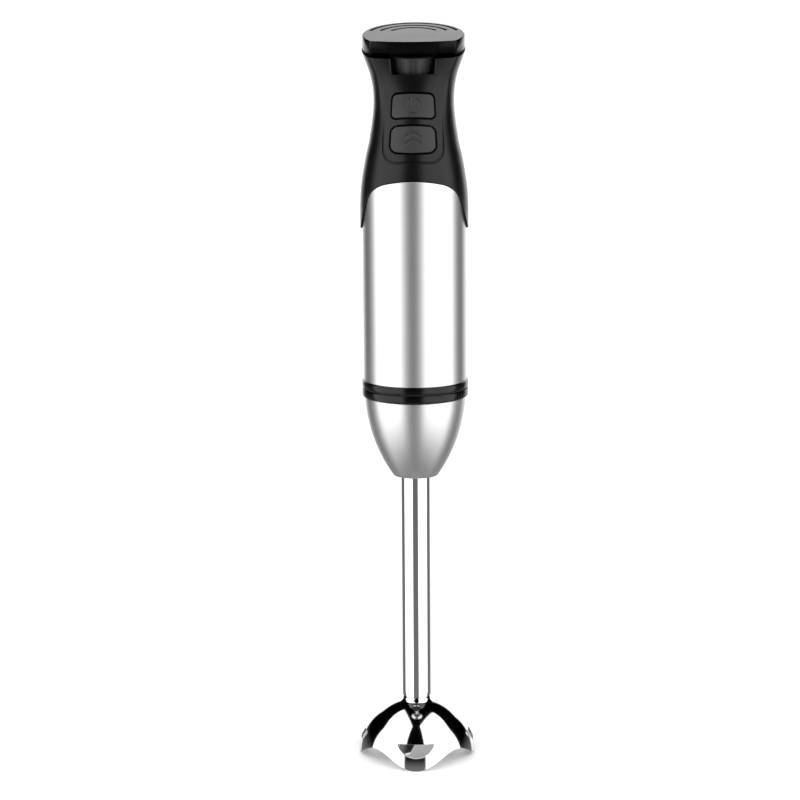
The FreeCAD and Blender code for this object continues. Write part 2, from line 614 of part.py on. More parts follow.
def make_commutator():
    low, high = SIZES["commutator_low"], SIZES["commutator_high"]
    drum = Part.makeCylinder(SIZES["commutator_radius"], high - low - 2, Vector(0, 0, low + 2))
    risers = Part.makeCylinder(SIZES["commutator_radius"] + 1.2, 2, Vector(0, 0, low))
    drum = drum.fuse(risers).cut(Part.makeCylinder(SIZES["shaft_radius"], 200, Vector(0, 0, 200)))
    segments = int(SIZES["armature_slots"])
    for step in range(segments):
        gap = Part.makeBox(4, 0.5, high - low, Vector(SIZES["commutator_radius"] - 1.4, -0.25, low))
        gap.rotate(Vector(0, 0, 0), Vector(0, 0, 1), 360 * step / segments)
        drum = drum.cut(gap)
    keep("commutator", formed("commutator", drum))


def make_rotor_shaft():
    keep("motor_shaft", cylinder("motor_shaft", "shaft_radius", "rotor_shaft_low", "rotor_shaft_high"))


def make_cooling_fan():
    low, high = SIZES["fan_low"], SIZES["fan_high"]
    plate = Part.makeCylinder(SIZES["fan_radius"], 1.2, Vector(0, 0, high - 1.2))
    hub = Part.makeCylinder(5.5, high - low, Vector(0, 0, low))
    blades = []
    count = 9
    for step in range(count):
        vane = Part.makeBox(SIZES["fan_radius"] - 6, 1.0, high - low, Vector(5, -0.5, low))
        vane.rotate(Vector(5, 0, 0), Vector(0, 0, 1), 18)
        vane.rotate(Vector(0, 0, 0), Vector(0, 0, 1), 360 * step / count)
        blades.append(vane)
    fan = plate.multiFuse([hub] + blades).removeSplitter()
    fan = fan.cut(Part.makeCylinder(SIZES["shaft_radius"], 200, Vector(0, 0, 200)))
    keep("cooling_fan", formed("cooling_fan", fan))


def make_motor_brackets():
    """Two end plates, each with a bearing cup and two posts to the stator."""
    for name, low, high, cup_low, cup_high, post_low, post_high in (
            ("lower_motor_bracket", "lower_bracket_low", "lower_bracket_high", "lower_bracket_low",
             "lower_bracket_high + 3.5", "lower_bracket_high - 0.5", "stator_low"),
            ("upper_motor_bracket", "upper_bracket_low", "upper_bracket_high", "upper_bracket_low",
             "upper_bracket_high + 3", "stator_high", "upper_bracket_low + 0.5")):
        plate = cylinder(name + "_plate", "bracket_radius", low, high)
        cup = cylinder(name + "_cup", "bearing_cup", cup_low, cup_high)
        posts = [cylinder("%s_post_%d" % (name, step), "post_radius", post_low, post_high, x, y)
                 for step, (x, y) in enumerate(screw_places())]
        bore = cylinder(name + "_bore", "bearing_radius", low + " - 1", cup_high + " + 1")
        screws = [cylinder("%s_hole_%d" % (name, step), "screw_radius + 0.1", "lower_bracket_low - 1",
                           "upper_bracket_high + 1", x, y) for step, (x, y) in enumerate(screw_places())]
        vents = []
        distance = SIZES["bracket_vent_distance"]
        for step in range(6):
            angle = math.radians(60 * step + 15)
            vents.append(cylinder("%s_vent_%d" % (name, step), "post_radius", low + " - 1", high + " + 1",
                                  distance * math.cos(angle), distance * math.sin(angle)))
        keep(name, cut(name, fuse(name + "_solid", plate, cup, *posts), bore, *(screws + vents)))
    for name, low in (("lower_bearing", "lower_bracket_low + 0.5"),
                      ("upper_bearing", "upper_bracket_low + 0.3")):
        keep(name, ring(name, "bearing_radius", "shaft_radius + shaft_clearance",
                        low, low + " + bearing_width"))


def make_motor_screws():
    screws = []
    for step, (x, y) in enumerate(screw_places()):
        head = cylinder("motor_screw_head_%d" % step, "post_radius - 0.4", "upper_bracket_high",
                        "upper_bracket_high + 2", x, y)
        shank = cylinder("motor_screw_shank_%d" % step, "screw_radius", "lower_bracket_low + 0.2",
                         "upper_bracket_high", x, y)
        drive = block("motor_screw_drive_%d" % step, (0.8, 4.0, 1.0), (x, y), "upper_bracket_high + 1.2")
        screws.append(cut("motor_screw_%d" % step, fuse("motor_screw_blank_%d" % step, head, shank), drive))
    keep("motor_screws", group("motor_screws", *screws))


def make_brushes():
    """Carbon brushes on the commutator, in holders that hang from the upper plate."""
    holders, brushes = [], []
    reach, middle = SIZES["commutator_radius"], (SIZES["commutator_low"] + SIZES["commutator_high"]) / 2 + 1
    for side in (1, -1):
        shell = Part.makeBox(11, 7, 8.4, Vector(reach + 1.7, -3.5, middle - 4))
        hanger = Part.makeBox(6, 4, SIZES["upper_bracket_low"] - middle - 4, Vector(reach + 4, -2, middle + 4))
        channel = Part.makeBox(12, 4.8, 6.0, Vector(reach, -2.4, middle - 3))
        holder = shell.fuse(hanger).cut(channel)
        brush = Part.makeBox(7, 4.6, 5.8, Vector(reach + 0.1, -2.3, middle - 2.9))
        for piece, kind in ((holder, holders), (brush, brushes)):
            if side < 0:
                piece.rotate(Vector(0, 0, 0), Vector(0, 0, 1), 180)
            kind.append(piece)
    keep("brush_holders", formed("brush_holders", Part.makeCompound(holders)))
    keep("carbon_brushes", formed("carbon_brushes", Part.makeCompound(brushes)))


def make_motor_mounts():
    """Rubber rings that hold the motor in the housing."""
    keep("lower_motor_mount", ring("lower_motor_mount", "socket_outer", "bracket_radius - 4",
                                   "socket_roof", "lower_bracket_low"))
    keep("upper_motor_mount", ring("upper_motor_mount", "motor_housing_bore - 0.05", "bracket_radius - 0.7",
                                   "upper_bracket_high", "upper_bracket_high + 3"))


def make_housing():
    keep("motor_housing", ring("motor_housing", "motor_housing_radius", "motor_housing_bore",
                               "motor_collar_high", "motor_housing_high"))


# ---------------------------------------------------------------------------
# Grip, sleeve and cap
# ---------------------------------------------------------------------------


def arch_solid(gap):
    """The opening in the grip where the steel shows, cut straight through."""
    top, foot = SIZES["arch_top"] + gap, SIZES["arch_foot"] + gap
    corner, corner_height = SIZES["arch_corner"] + gap, SIZES["arch_corner_height"] + gap
    low, reach = SIZES["arch_foot_height"], 60
    left, right = Vector(-corner, -reach, corner_height), Vector(corner, -reach, corner_height)
    edges = [Part.Arc(left, Vector(0, -reach, top), right).toShape(),
             Part.LineSegment(right, Vector(foot, -reach, low)).toShape(),
             Part.LineSegment(Vector(foot, -reach, low), Vector(foot, -reach, low - 120)).toShape(),
             Part.LineSegment(Vector(foot, -reach, low - 120), Vector(-foot, -reach, low - 120)).toShape(),
             Part.LineSegment(Vector(-foot, -reach, low - 120), Vector(-foot, -reach, low)).toShape(),
             Part.LineSegment(Vector(-foot, -reach, low), left).toShape()]
    solid = Part.Face(Part.Wire(edges)).extrude(Vector(0, 2 * reach, 0))
    return rounded(solid, SIZES["arch_fillet"], Vector(0, 1, 0), lambda middle: middle.z > low + 5)


def make_sleeve():
    tube = ring("sleeve_tube", "sleeve_radius", "sleeve_bore", "motor_collar_high", "sleeve_high")
    arch = formed("sleeve_arch", arch_solid(-SIZES["arch_gap"]))
    trimmed = doc.addObject("Part::Common", "steel_sleeve")
    trimmed.Base, trimmed.Tool = tube, arch
    keep("steel_sleeve", trimmed)


def section(level, offset):
    """One cross-section of the grip: a circle with a bowed front between two corners."""
    height, radius, middle, corner, front, tilt = level
    depth = math.sqrt(radius ** 2 - corner ** 2)
    scale = (radius + offset) / radius
    corner, depth, radius, front = corner * scale, depth * scale, radius + offset, front + offset
    place = tilted(Vector(0, middle, height), tilt)
    left, right = Vector(-corner, -depth, 0), Vector(corner, -depth, 0)
    back = Part.Arc(right, Vector(0, radius, 0), left).toShape()
    bow = Part.Arc(left, Vector(0, -front, 0), right).toShape()
    wire = Part.Wire([back, bow])
    wire.Placement = place
    return wire


def grip_form(offset, levels=GRIP_SECTIONS):
    return Part.makeLoft([section(level, offset) for level in levels], True, False)


def d_prism(shrink, low, high):
    """The cap's outline about its own leaning axis, between two heights on it."""
    radius, corner, front = (SIZES[key] - shrink for key in ("cap_radius", "cap_corner", "cap_front"))
    depth = math.sqrt(radius ** 2 - corner ** 2)
    left, right = Vector(-corner, -depth, low), Vector(corner, -depth, low)
    edges = [Part.Arc(right, Vector(0, radius, low), left).toShape(),
             Part.Arc(left, Vector(0, -front, low), right).toShape()]
    return Part.Face(Part.Wire(edges)).extrude(Vector(0, 0, high - low))


def above_seam(gap):
    """The half space above the seam, as a large block."""
    height, middle, tilt = GRIP_SECTIONS[0][0], GRIP_SECTIONS[0][2], SIZES["seam_tilt"]
    solid = Part.makeBox(120, 120, 60, Vector(-60, -60, gap))
    solid.Placement = tilted(Vector(0, middle, height), tilt)
    return solid


def dial_window():
    half_low, half_high = SIZES["dial_window_bottom_width"] / 2, SIZES["dial_window_top_width"] / 2
    low, high = SIZES["dial_window_low"], SIZES["dial_window_high"]
    return outline([(-half_low, low), (half_low, low), (half_high, high), (-half_high, high)], -40, -8)


def panel():
    """The leaning frame of the button panel: its Y points into the grip."""
    return tilted(Vector(0, SIZES["panel_depth"], SIZES["panel_height"]), -SIZES["panel_tilt"])


def button_outline(name, grow, front, back):
    """A button's outline in the panel's frame, with round corners."""
    low, high = SIZES[name + "_low"] - grow, SIZES[name + "_high"] + grow
    half_low, half_high = SIZES[name + "_low_width"] / 2 + grow, SIZES[name + "_high_width"] / 2 + grow
    sag = SIZES["turbo_sag"] if name == "turbo" else 0.0
    corners = [Vector(-half_low, front, low), Vector(half_low, front, low),
               Vector(half_high, front, high), Vector(-half_high, front, high)]
    if sag:
        bottom = Part.Arc(corners[0], Vector(0, front, low - sag), corners[1]).toShape()
    else:
        bottom = Part.LineSegment(corners[0], corners[1]).toShape()
    sides = [Part.LineSegment(corners[step], corners[(step + 1) % 4]).toShape() for step in (1, 2, 3)]
    edges = [bottom] + sides
    solid = Part.Face(Part.Wire(edges)).extrude(Vector(0, back - front, 0))
    solid = rounded(solid, SIZES[name + "_corner"] + grow, Vector(0, 1, 0))
    solid.Placement = panel()
    return solid


def panel_groove():
    """A shallow U round the buttons that runs out at its upper ends."""
    width, half = SIZES["groove_width"], SIZES["groove_half"]
    low, high, corner = SIZES["groove_low"], SIZES["groove_high"], SIZES["groove_corner"]
    lean, bend = 1.2, -8.0
    outer = [(-half + lean, high), (-half, bend), (-half, low), (half, low), (half, bend), (half - lean, high)]
    tip, side, floor = half - lean - 0.05, half - width, low + width
    inner = [(-tip, high), (-side, bend), (-side, floor), (side, floor), (side, bend), (tip, high)]
    bands = []
    for points, radius in ((outer, corner), (inner, corner - width)):
        band = outline(points, -14, 14)
        bands.append(rounded(band, radius, Vector(0, 1, 0), lambda middle: middle.z < bend - 7))
    groove = bands[0].cut(bands[1])
    groove.Placement = panel()
    return groove.cut(grip_form(-SIZES["groove_depth"]))


def make_handle_shell():
    shell = grip_form(0.0).cut(grip_form(-SIZES["grip_wall"], extended(GRIP_SECTIONS)))
    skirt = Part.makeCylinder(SIZES["grip_skirt_bore"], SIZES["grip_skirt_high"] - SIZES["grip_low"] + 1,
                              Vector(0, 0, SIZES["grip_low"] - 1))
    shell = shell.cut(skirt).cut(arch_solid(0.0)).cut(dial_window())
    for name in ("power", "turbo"):
        shell = shell.cut(button_outline(name, SIZES["button_gap"], -20, 20))
    shell = shell.cut(panel_groove())
    hole = Part.makeCylinder(SIZES["gland_radius"] + 0.1, 20, Vector(0, -10, 0), Vector(0, 1, 0))
    hole.Placement = gland_frame().multiply(hole.Placement)
    keep("handle_shell", formed("handle_shell", shell.cut(hole)))


def extended(levels):
    """The grip's sections with both ends carried a little further, for a clean cut."""
    height, radius, middle, corner, front, tilt = levels[0]
    top = (height + 1.0, radius + 0.4, middle, corner + 0.4, front + 0.1, tilt)
    height, radius, middle, corner, front, tilt = levels[-1]
    return (top,) + tuple(levels[1:-1]) + ((height - 1.0, radius, middle, corner, front, tilt),)


def make_top_cap():
    frame = tilted(Vector(0, 0, SIZES["cap_height"]), SIZES["cap_tilt"])
    wall, roof = SIZES["cap_wall"], SIZES["cap_roof"]
    outside = d_prism(0, -30, 0)
    top_edges = [edge for edge in outside.Edges if edge.CenterOfMass.z > -0.01]
    corner_edges = [edge for edge in outside.Edges if edge.Curve.TypeId == "Part::GeomLine"]
    outside = outside.makeFillet(SIZES["cap_fillet"], top_edges + corner_edges)
    cap = outside.cut(d_prism(wall, -31, -roof))
    for step in range(3):
        radius = SIZES["slot_outer"] - step * SIZES["slot_spacing"]
        half = math.degrees(math.acos(SIZES["slot_start"] / radius))
        width = SIZES["slot_width"] / 2
        cap = cap.cut(sector(radius - width, radius + width, -roof - 1, 1, 90 - half, 90 + half))
    cap.Placement = frame
    cap = cap.common(above_seam(SIZES["cap_gap"]))
    # Snap tabs reach down inside the grip.
    tab_outer = SIZES["cap_radius"] - wall - SIZES["tab_inset"]
    tab_inner = tab_outer - SIZES["tab_thickness"]
    for angle in (0, 50, 130, 180):
        start, end = angle - SIZES["tab_half_angle"], angle + SIZES["tab_half_angle"]
        tab = sector(tab_inner, tab_outer, SIZES["tab_low"], -roof + 0.5, start, end)
        root = sector(tab_inner, SIZES["cap_radius"] - wall + 0.5, SIZES["tab_root_low"], -roof + 0.5,
                      start, end)
        tab = tab.fuse(root)
        tab.Placement = frame
        cap = cap.fuse(tab)
    keep("top_cap", formed("top_cap", cap.cut(dial_window()).removeSplitter()))


def gland_frame():
    return tilted(Vector(0, SIZES["gland_depth"], SIZES["gland_height"]), -SIZES["seam_tilt"])


def make_cord_gland():
    """The rear inlet that the mains lead would come out of."""
    inside, outside = SIZES["gland_inside"], SIZES["gland_outside"]
    axis = Vector(0, 1, 0)
    lengths = {"tube": (SIZES["gland_radius"], -inside, outside),
               "bore": (SIZES["gland_bore"], -inside, outside),
               "collar": (SIZES["gland_flange"], -4.0, 2.0), "inner": (SIZES["gland_flange"], -6.6, 0.0)}
    solids = {}
    for key, (radius, low, high) in lengths.items():
        solids[key] = Part.makeCylinder(radius, high - low, Vector(0, low, 0), axis)
        solids[key].Placement = gland_frame().multiply(solids[key].Placement)
    # Both flanges follow the curve of the grip's wall.
    collar = solids["collar"].cut(grip_form(0.06))
    inner = solids["inner"].common(grip_form(-SIZES["grip_wall"] - 0.06))
    gland = solids["tube"].multiFuse([collar, inner]).cut(solids["bore"])
    keep("cord_gland", formed("cord_gland", gland))


# ---------------------------------------------------------------------------
# Speed dial
# ---------------------------------------------------------------------------


def dial_frame():
    return tilted(Vector(0, SIZES["dial_centre_depth"], SIZES["dial_centre_height"]), SIZES["cap_tilt"])


def make_speed_dial():
    half, radius = SIZES["dial_half_height"], SIZES["dial_radius"]
    wheel = Part.makeCylinder(radius, 2 * half, Vector(0, 0, -half))
    wheel = wheel.makeFillet(0.4, [edge for edge in wheel.Edges if edge.Curve.TypeId == "Part::GeomCircle"])
    # A flat recess with a raised pointer marks the setting; ribs elsewhere give grip.
    recess = Part.makeBox(4.6, 2, 2 * half + 1, Vector(-2.3, -radius - 1.4, -half - 0.5))
    pointer = Part.makeBox(0.9, 1.0, 2 * half - 0.8, Vector(-0.45, -radius + 0.1, -half + 0.4))
    wheel = wheel.cut(recess).fuse(pointer)
    ribs = []
    for step in range(4, 25):
        for angle in (180 - 6.5 * step, 180 + 6.5 * step):
            rib = Part.makeCylinder(0.22, 2 * half - 1.6, Vector(0, radius, -half + 0.8))
            rib.rotate(Vector(0, 0, 0), Vector(0, 0, 1), angle)
            ribs.append(rib)
    wheel = wheel.multiFuse(ribs)
    spindle = Part.makeCylinder(SIZES["spindle_radius"], 1.6, Vector(0, 0, -half - 1.6))
    wheel = wheel.fuse(spindle)
    wheel.Placement = dial_frame()
    keep("speed_dial", formed("speed_dial", wheel))


def make_potentiometer():
    top = -SIZES["dial_half_height"] - 1.8
    low = top - SIZES["potentiometer_length"]
    body = Part.makeCylinder(SIZES["potentiometer_radius"], SIZES["potentiometer_length"], Vector(0, 0, low))
    tabs = Part.makeBox(8, 3, 1.0, Vector(-4, SIZES["potentiometer_radius"] - 1, low))
    body = body.fuse(tabs)
    body.Placement = dial_frame()
    keep("speed_potentiometer", formed("speed_potentiometer", body))


# ---------------------------------------------------------------------------
# Buttons and electronics
# ---------------------------------------------------------------------------


def button_centre(name):
    return (SIZES[name + "_low"] + SIZES[name + "_high"]) / 2


def power_symbol(centre):
    """A broken circle with an upright bar in its gap."""
    radius, stroke = SIZES["symbol_radius"], SIZES["symbol_stroke"]
    start, along = Vector(0, -10, 0), Vector(0, 1, 0)
    circle = Part.makeCylinder(radius, 20, start, along)
    circle = circle.cut(Part.makeCylinder(radius - stroke, 20, start, along))
    circle = circle.cut(Part.makeBox(2.6, 20, 6, Vector(-1.3, -10, 0)))
    bar = Part.makeBox(stroke, 20, radius, Vector(-stroke / 2, -10, 0.6))
    symbol = circle.fuse(bar)
    symbol.translate(Vector(0, 0, centre))
    return symbol


def turbo_symbol(centre):
    """Two chevrons, one above the other."""
    chevrons = []
    half, rise, stroke = SIZES["chevron_half"], SIZES["chevron_rise"], SIZES["symbol_stroke"] + 0.2
    for low in (-3.4, 0.2):
        points = [(-half, low), (0, low + rise), (half, low), (half, low + stroke), (0, low + rise + stroke),
                  (-half, low + stroke)]
        chevrons.append(outline(points, -10, 10))
    symbol = chevrons[0].fuse(chevrons[1])
    symbol.translate(Vector(0, 0, centre))
    return symbol


def make_button(name, symbol):
    proud, sink = SIZES["button_proud"], SIZES["symbol_depth"]
    centre = button_centre(name)
    face = button_outline(name, 0.0, -12, SIZES["button_thickness"]).common(grip_form(proud))
    mark = symbol(centre)
    mark.Placement = panel()
    face = face.cut(mark.cut(grip_form(proud - sink)))
    stem = Part.makeCylinder(SIZES["stem_radius"], SIZES["stem_length"],
                             Vector(0, SIZES["button_thickness"], centre), Vector(0, 1, 0))
    # A flange behind the panel keeps the button from falling out.
    width, lip, thickness = SIZES["button_flange"], SIZES["button_flange_lip"], 1.2
    low, height = SIZES[name + "_low"] - lip, SIZES[name + "_high"] - SIZES[name + "_low"] + 2 * lip
    flange = Part.makeBox(width, thickness, height,
                          Vector(-width / 2, SIZES["button_thickness"] - thickness, low))
    inner = flange.fuse(stem)
    inner.Placement = panel()
    keep(name + "_button", formed(name + "_button", face.fuse(inner).removeSplitter()))


def coil_spring(radius, wire, turns, low, high):
    """A compression spring along Y as a swept helix."""
    pitch = (high - low - wire * 2) / turns
    path = Part.makeHelix(pitch, pitch * turns, radius)
    start = Vector(radius, 0, 0)
    circle = Part.Wire([Part.Circle(start, Vector(0, 1, 0), wire).toShape()])
    spring = Part.Wire(path.Edges).makePipeShell([circle], True, True)
    spring.rotate(Vector(0, 0, 0), Vector(1, 0, 0), -90)
    spring.translate(Vector(0, low + wire, 0))
    return spring


def make_springs():
    low, high = SIZES["button_thickness"] + 0.05, SIZES["board_depth"] - 0.05
    for name in ("power", "turbo"):
        spring = coil_spring(SIZES["spring_radius"], SIZES["spring_wire"], SIZES["spring_turns"], low, high)
        spring.translate(Vector(0, 0, button_centre(name)))
        spring.Placement = panel().multiply(spring.Placement)
        keep(name + "_spring", formed(name + "_spring", spring))


def board_hole_places():
    return (-SIZES["board_hole_distance"], SIZES["board_hole_distance"])


def make_control_board():
    depth, width = SIZES["board_depth"], SIZES["board_width"]
    low, high = SIZES["board_low"], SIZES["board_high"]
    board = Part.makeBox(width, SIZES["board_thickness"], high - low, Vector(-width / 2, depth, low))
    board = rounded(board, 2.0, Vector(0, 1, 0))
    for x in board_hole_places():
        board = board.cut(Part.makeCylinder(SIZES["board_hole_radius"], 4, Vector(x, depth - 1, 0.0),
                                            Vector(0, 1, 0)))
    board.Placement = panel()
    keep("control_board", formed("control_board", board))
    for name in ("power", "turbo"):
        centre = button_centre(name)
        length = depth - SIZES["button_thickness"] - SIZES["stem_length"] - SIZES["button_travel"] - 0.15
        pins = Part.makeCylinder(1.3, length, Vector(0, depth - length, centre), Vector(0, 1, 0))
        base = Part.makeBox(3.0, 1.4, 3.0, Vector(-1.5, depth - 1.4, centre - 1.5))
        switch = base.fuse(pins)
        switch.Placement = panel()
        keep(name + "_switch", formed(name + "_switch", switch))
    back = depth + SIZES["board_thickness"]
    can = Part.makeBox(12, 6, 9, Vector(-6, back, -14))
    can = can.makeFillet(0.8, can.Edges)
    can.Placement = panel()
    keep("suppression_capacitor", formed("suppression_capacitor", can))
    block_shape = Part.makeBox(14, 7, 6, Vector(-7, back, 8))
    for x in (-3.5, 3.5):
        block_shape = block_shape.cut(Part.makeCylinder(1.4, 6, Vector(x, back + 3, 9), Vector(0, 0, 1)))
    block_shape.Placement = panel()
    keep("terminal_block", formed("terminal_block", block_shape))


def make_board_screws():
    screws = []
    for x in board_hole_places():
        depth = SIZES["board_depth"]
        head = Part.makeCylinder(2.2, 1.2, Vector(x, depth - 1.2, 0), Vector(0, 1, 0))
        shank = Part.makeCylinder(SIZES["bridge_hole_radius"], 5.0, Vector(x, depth, 0), Vector(0, 1, 0))
        screw = head.fuse(shank).cut(Part.makeBox(3, 0.6, 0.6, Vector(x - 1.5, depth - 1.3, -0.3)))
        screw.Placement = panel()
        screws.append(screw)
    keep("board_screws", formed("board_screws", Part.makeCompound(screws)))


def make_board_carrier():
    """A bridge across the grip that the board is screwed to."""
    back = SIZES["board_depth"] + SIZES["board_thickness"]
    width, thickness, height = SIZES["bridge_width"], SIZES["bridge_thickness"], SIZES["bridge_height"]
    bridge = Part.makeBox(width, thickness, height, Vector(-width / 2, back, -height / 2))
    for x in board_hole_places():
        bridge = bridge.cut(Part.makeCylinder(SIZES["bridge_hole_radius"], 3.5, Vector(x, back, 0),
                                              Vector(0, 1, 0)))
    bridge.Placement = panel()
    keep("board_carrier", formed("board_carrier", bridge.common(grip_form(-SIZES["grip_wall"] - 0.08))))


# ---------------------------------------------------------------------------
# Build, check and write
# ---------------------------------------------------------------------------

make_blade_guard()
make_lower_bearing()
make_shaft_tube()
make_steel_shroud()
make_shaft_carrier()
make_attachment_collar()
make_collar_screws()
make_drive_shaft()
make_blade()
make_blade_nut()
make_coupling_seal()
make_motor_collar()
make_drive_coupler()
make_stator()
make_armature()
make_commutator()
make_rotor_shaft()
make_cooling_fan()
make_motor_brackets()
make_motor_screws()
make_brushes()
make_motor_mounts()
make_housing()
make_sleeve()
make_handle_shell()
make_top_cap()
make_cord_gland()
make_speed_dial()
make_potentiometer()
make_button("power", power_symbol)
make_button("turbo", turbo_symbol)
make_springs()
make_control_board()
make_board_screws()
make_board_carrier()

doc.recompute()
for thing in doc.Objects:
    if "Invalid" in thing.State or "Error" in thing.State:
        raise RuntimeError("%s failed: %s" % (thing.Name, thing.State))
for name, thing in parts.items():
    if thing.Shape.isNull() or not thing.Shape.isValid() or thing.Shape.Volume <= 0:
        raise RuntimeError("%s has no sound shape" % name)

os.makedirs("parts", exist_ok=True)
for name, thing in parts.items():
    thing.Shape.exportStep(os.path.join("parts", name + ".step"))
    print("%-24s %9.1f mm3" % (name, thing.Shape.Volume))
print(len(parts), "sub-parts")
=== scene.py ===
import math

import bpy
import numpy as np
from mathutils import Matrix, Vector
from mathutils.geometry import delaunay_2d_cdt


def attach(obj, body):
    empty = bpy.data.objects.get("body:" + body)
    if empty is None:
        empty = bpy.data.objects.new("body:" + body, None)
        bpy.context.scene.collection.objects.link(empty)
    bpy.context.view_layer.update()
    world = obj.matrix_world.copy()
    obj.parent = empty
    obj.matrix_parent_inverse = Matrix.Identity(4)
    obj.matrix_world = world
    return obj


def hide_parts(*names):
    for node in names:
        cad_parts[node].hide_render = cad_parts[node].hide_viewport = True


# The looks of a hand-held immersion blender that stands on its blade guard, with +Z up
# the shaft and the buttons facing -Y.  Shapes are worked out in millimetres and scaled
# by MM when their mesh is made.

MM = 0.001
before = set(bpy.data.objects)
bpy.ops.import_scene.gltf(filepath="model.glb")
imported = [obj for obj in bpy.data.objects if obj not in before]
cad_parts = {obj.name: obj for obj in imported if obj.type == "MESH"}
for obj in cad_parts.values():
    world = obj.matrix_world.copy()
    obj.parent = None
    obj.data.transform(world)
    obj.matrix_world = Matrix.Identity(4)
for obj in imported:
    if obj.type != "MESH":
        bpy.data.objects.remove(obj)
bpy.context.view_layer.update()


# ----- Camera, light and floor -----


def make_camera():
    """An 85 mm lens a metre in front, looking down by eleven degrees."""
    distance, height = 1.0084, 0.3981
    azimuth, aside, pitch, roll = (math.radians(angle) for angle in (1.27, 0.473, 11.05, 0.40))
    place = Vector((distance * math.sin(azimuth), -distance * math.cos(azimuth), height))
    heading = -azimuth - aside
    forward = Vector((math.sin(heading) * math.cos(pitch), math.cos(heading) * math.cos(pitch),
                      -math.sin(pitch)))
    level = Vector((math.cos(heading), -math.sin(heading), 0))
    upright = level.cross(forward)
    right = level * math.cos(roll) - upright * math.sin(roll)
    up = upright * math.cos(roll) + level * math.sin(roll)
    data = bpy.data.cameras.new("camera")
    data.lens = 85.0
    data.sensor_width = 36.0
    data.clip_end = 50.0
    camera = bpy.data.objects.new("camera", data)
    bpy.context.scene.collection.objects.link(camera)
    camera.matrix_world = Matrix((right, up, -forward)).transposed().to_4x4()
    camera.location = place
    bpy.context.scene.camera = camera


def node(tree, kind, sockets=None, **settings):
    """A node with its settings, and its inputs set to values or linked to sockets."""
    made = tree.nodes.new(kind)
    for key, value in settings.items():
        setattr(made, key, value)
    for key, value in (sockets or {}).items():
        if isinstance(value, bpy.types.NodeSocket):
            tree.links.new(value, made.inputs[key])
        else:
            made.inputs[key].default_value = value
    return made


def maths(tree, operation, *values):
    """The result of a maths node for values or sockets."""
    return node(tree, "ShaderNodeMath", dict(enumerate(values)), operation=operation).outputs[0]


def ramp(tree, value, low, high, start=0.0, end=1.0):
    """A smooth step of a value from start at low to end at high."""
    sockets = {"Value": value, "From Min": low, "From Max": high, "To Min": start, "To Max": end}
    return node(tree, "ShaderNodeMapRange", sockets, interpolation_type="SMOOTHSTEP").outputs[0]


# What the blender mirrors: brightness of the softboxes and of the wall behind, and in
# radians the height at which a softbox starts to lean outward.
BOX_LIGHT, WALL_LIGHT, LEAN_START = 2.5, 2.0, 0.52
# Each softbox's side, inner and outer azimuth, lean, and the plane that cuts off its top.
SOFTBOXES = ((-1.0, 24, 99, 3.3, (0.22, 0.25)), (1.0, 18, 97, 2.5, (0.23, 0.43)))


def softbox(tree, direction, side, inner, outer, lean, cut):
    """A bright panel to one side (-1 left, 1 right), between two azimuths in degrees from the
    front.  Its outer side leans outward above, its top is cut off along a plane and its
    bottom fades into the ground."""
    x, y, z = direction
    across = maths(tree, "MULTIPLY", x, side)
    azimuth = maths(tree, "ARCTAN2", across, maths(tree, "MULTIPLY", y, -1.0))
    elevation = maths(tree, "ARCSINE", z)
    high = maths(tree, "MAXIMUM", maths(tree, "SUBTRACT", elevation, LEAN_START), 0.0)
    bend = maths(tree, "MULTIPLY", maths(tree, "MULTIPLY", high, high), lean)
    inner, outer, soft = (math.radians(angle) for angle in (inner, outer, 2))
    shape = maths(tree, "MULTIPLY", ramp(tree, azimuth, inner - soft, inner + soft),
                  ramp(tree, maths(tree, "SUBTRACT", azimuth, bend), outer - soft, outer + soft, 1.0, 0.0))
    plane = maths(tree, "ADD", maths(tree, "MULTIPLY", z, cut[0]), maths(tree, "MULTIPLY", y, cut[1]))
    top = ramp(tree, maths(tree, "SUBTRACT", across, plane), -0.02, 0.04)
    bottom = ramp(tree, elevation, math.radians(-66), math.radians(-10))
    return maths(tree, "MULTIPLY", shape, maths(tree, "MULTIPLY", top, bottom))


def bright_wall(tree, direction):
    """A wall behind the blender, lower towards its ends and dim near the ground."""
    x, y, z = direction
    elevation = maths(tree, "ARCSINE", z)
    aside = maths(tree, "ABSOLUTE", maths(tree, "SUBTRACT", maths(tree, "ARCTAN2", x, y), 0.06))
    ends = ramp(tree, aside, 0.6, 0.7, start=1.0, end=0.0)
    sloping = maths(tree, "ADD", elevation, maths(tree, "MULTIPLY", aside, 0.45))
    top = ramp(tree, sloping, 0.58, 0.7, start=1.0, end=0.0)
    foot = ramp(tree, elevation, -0.6, 0.1, start=0.1, end=1.0)
    shape = maths(tree, "MULTIPLY", ends, maths(tree, "MULTIPLY", top, foot))
    return maths(tree, "MULTIPLY", shape, WALL_LIGHT)


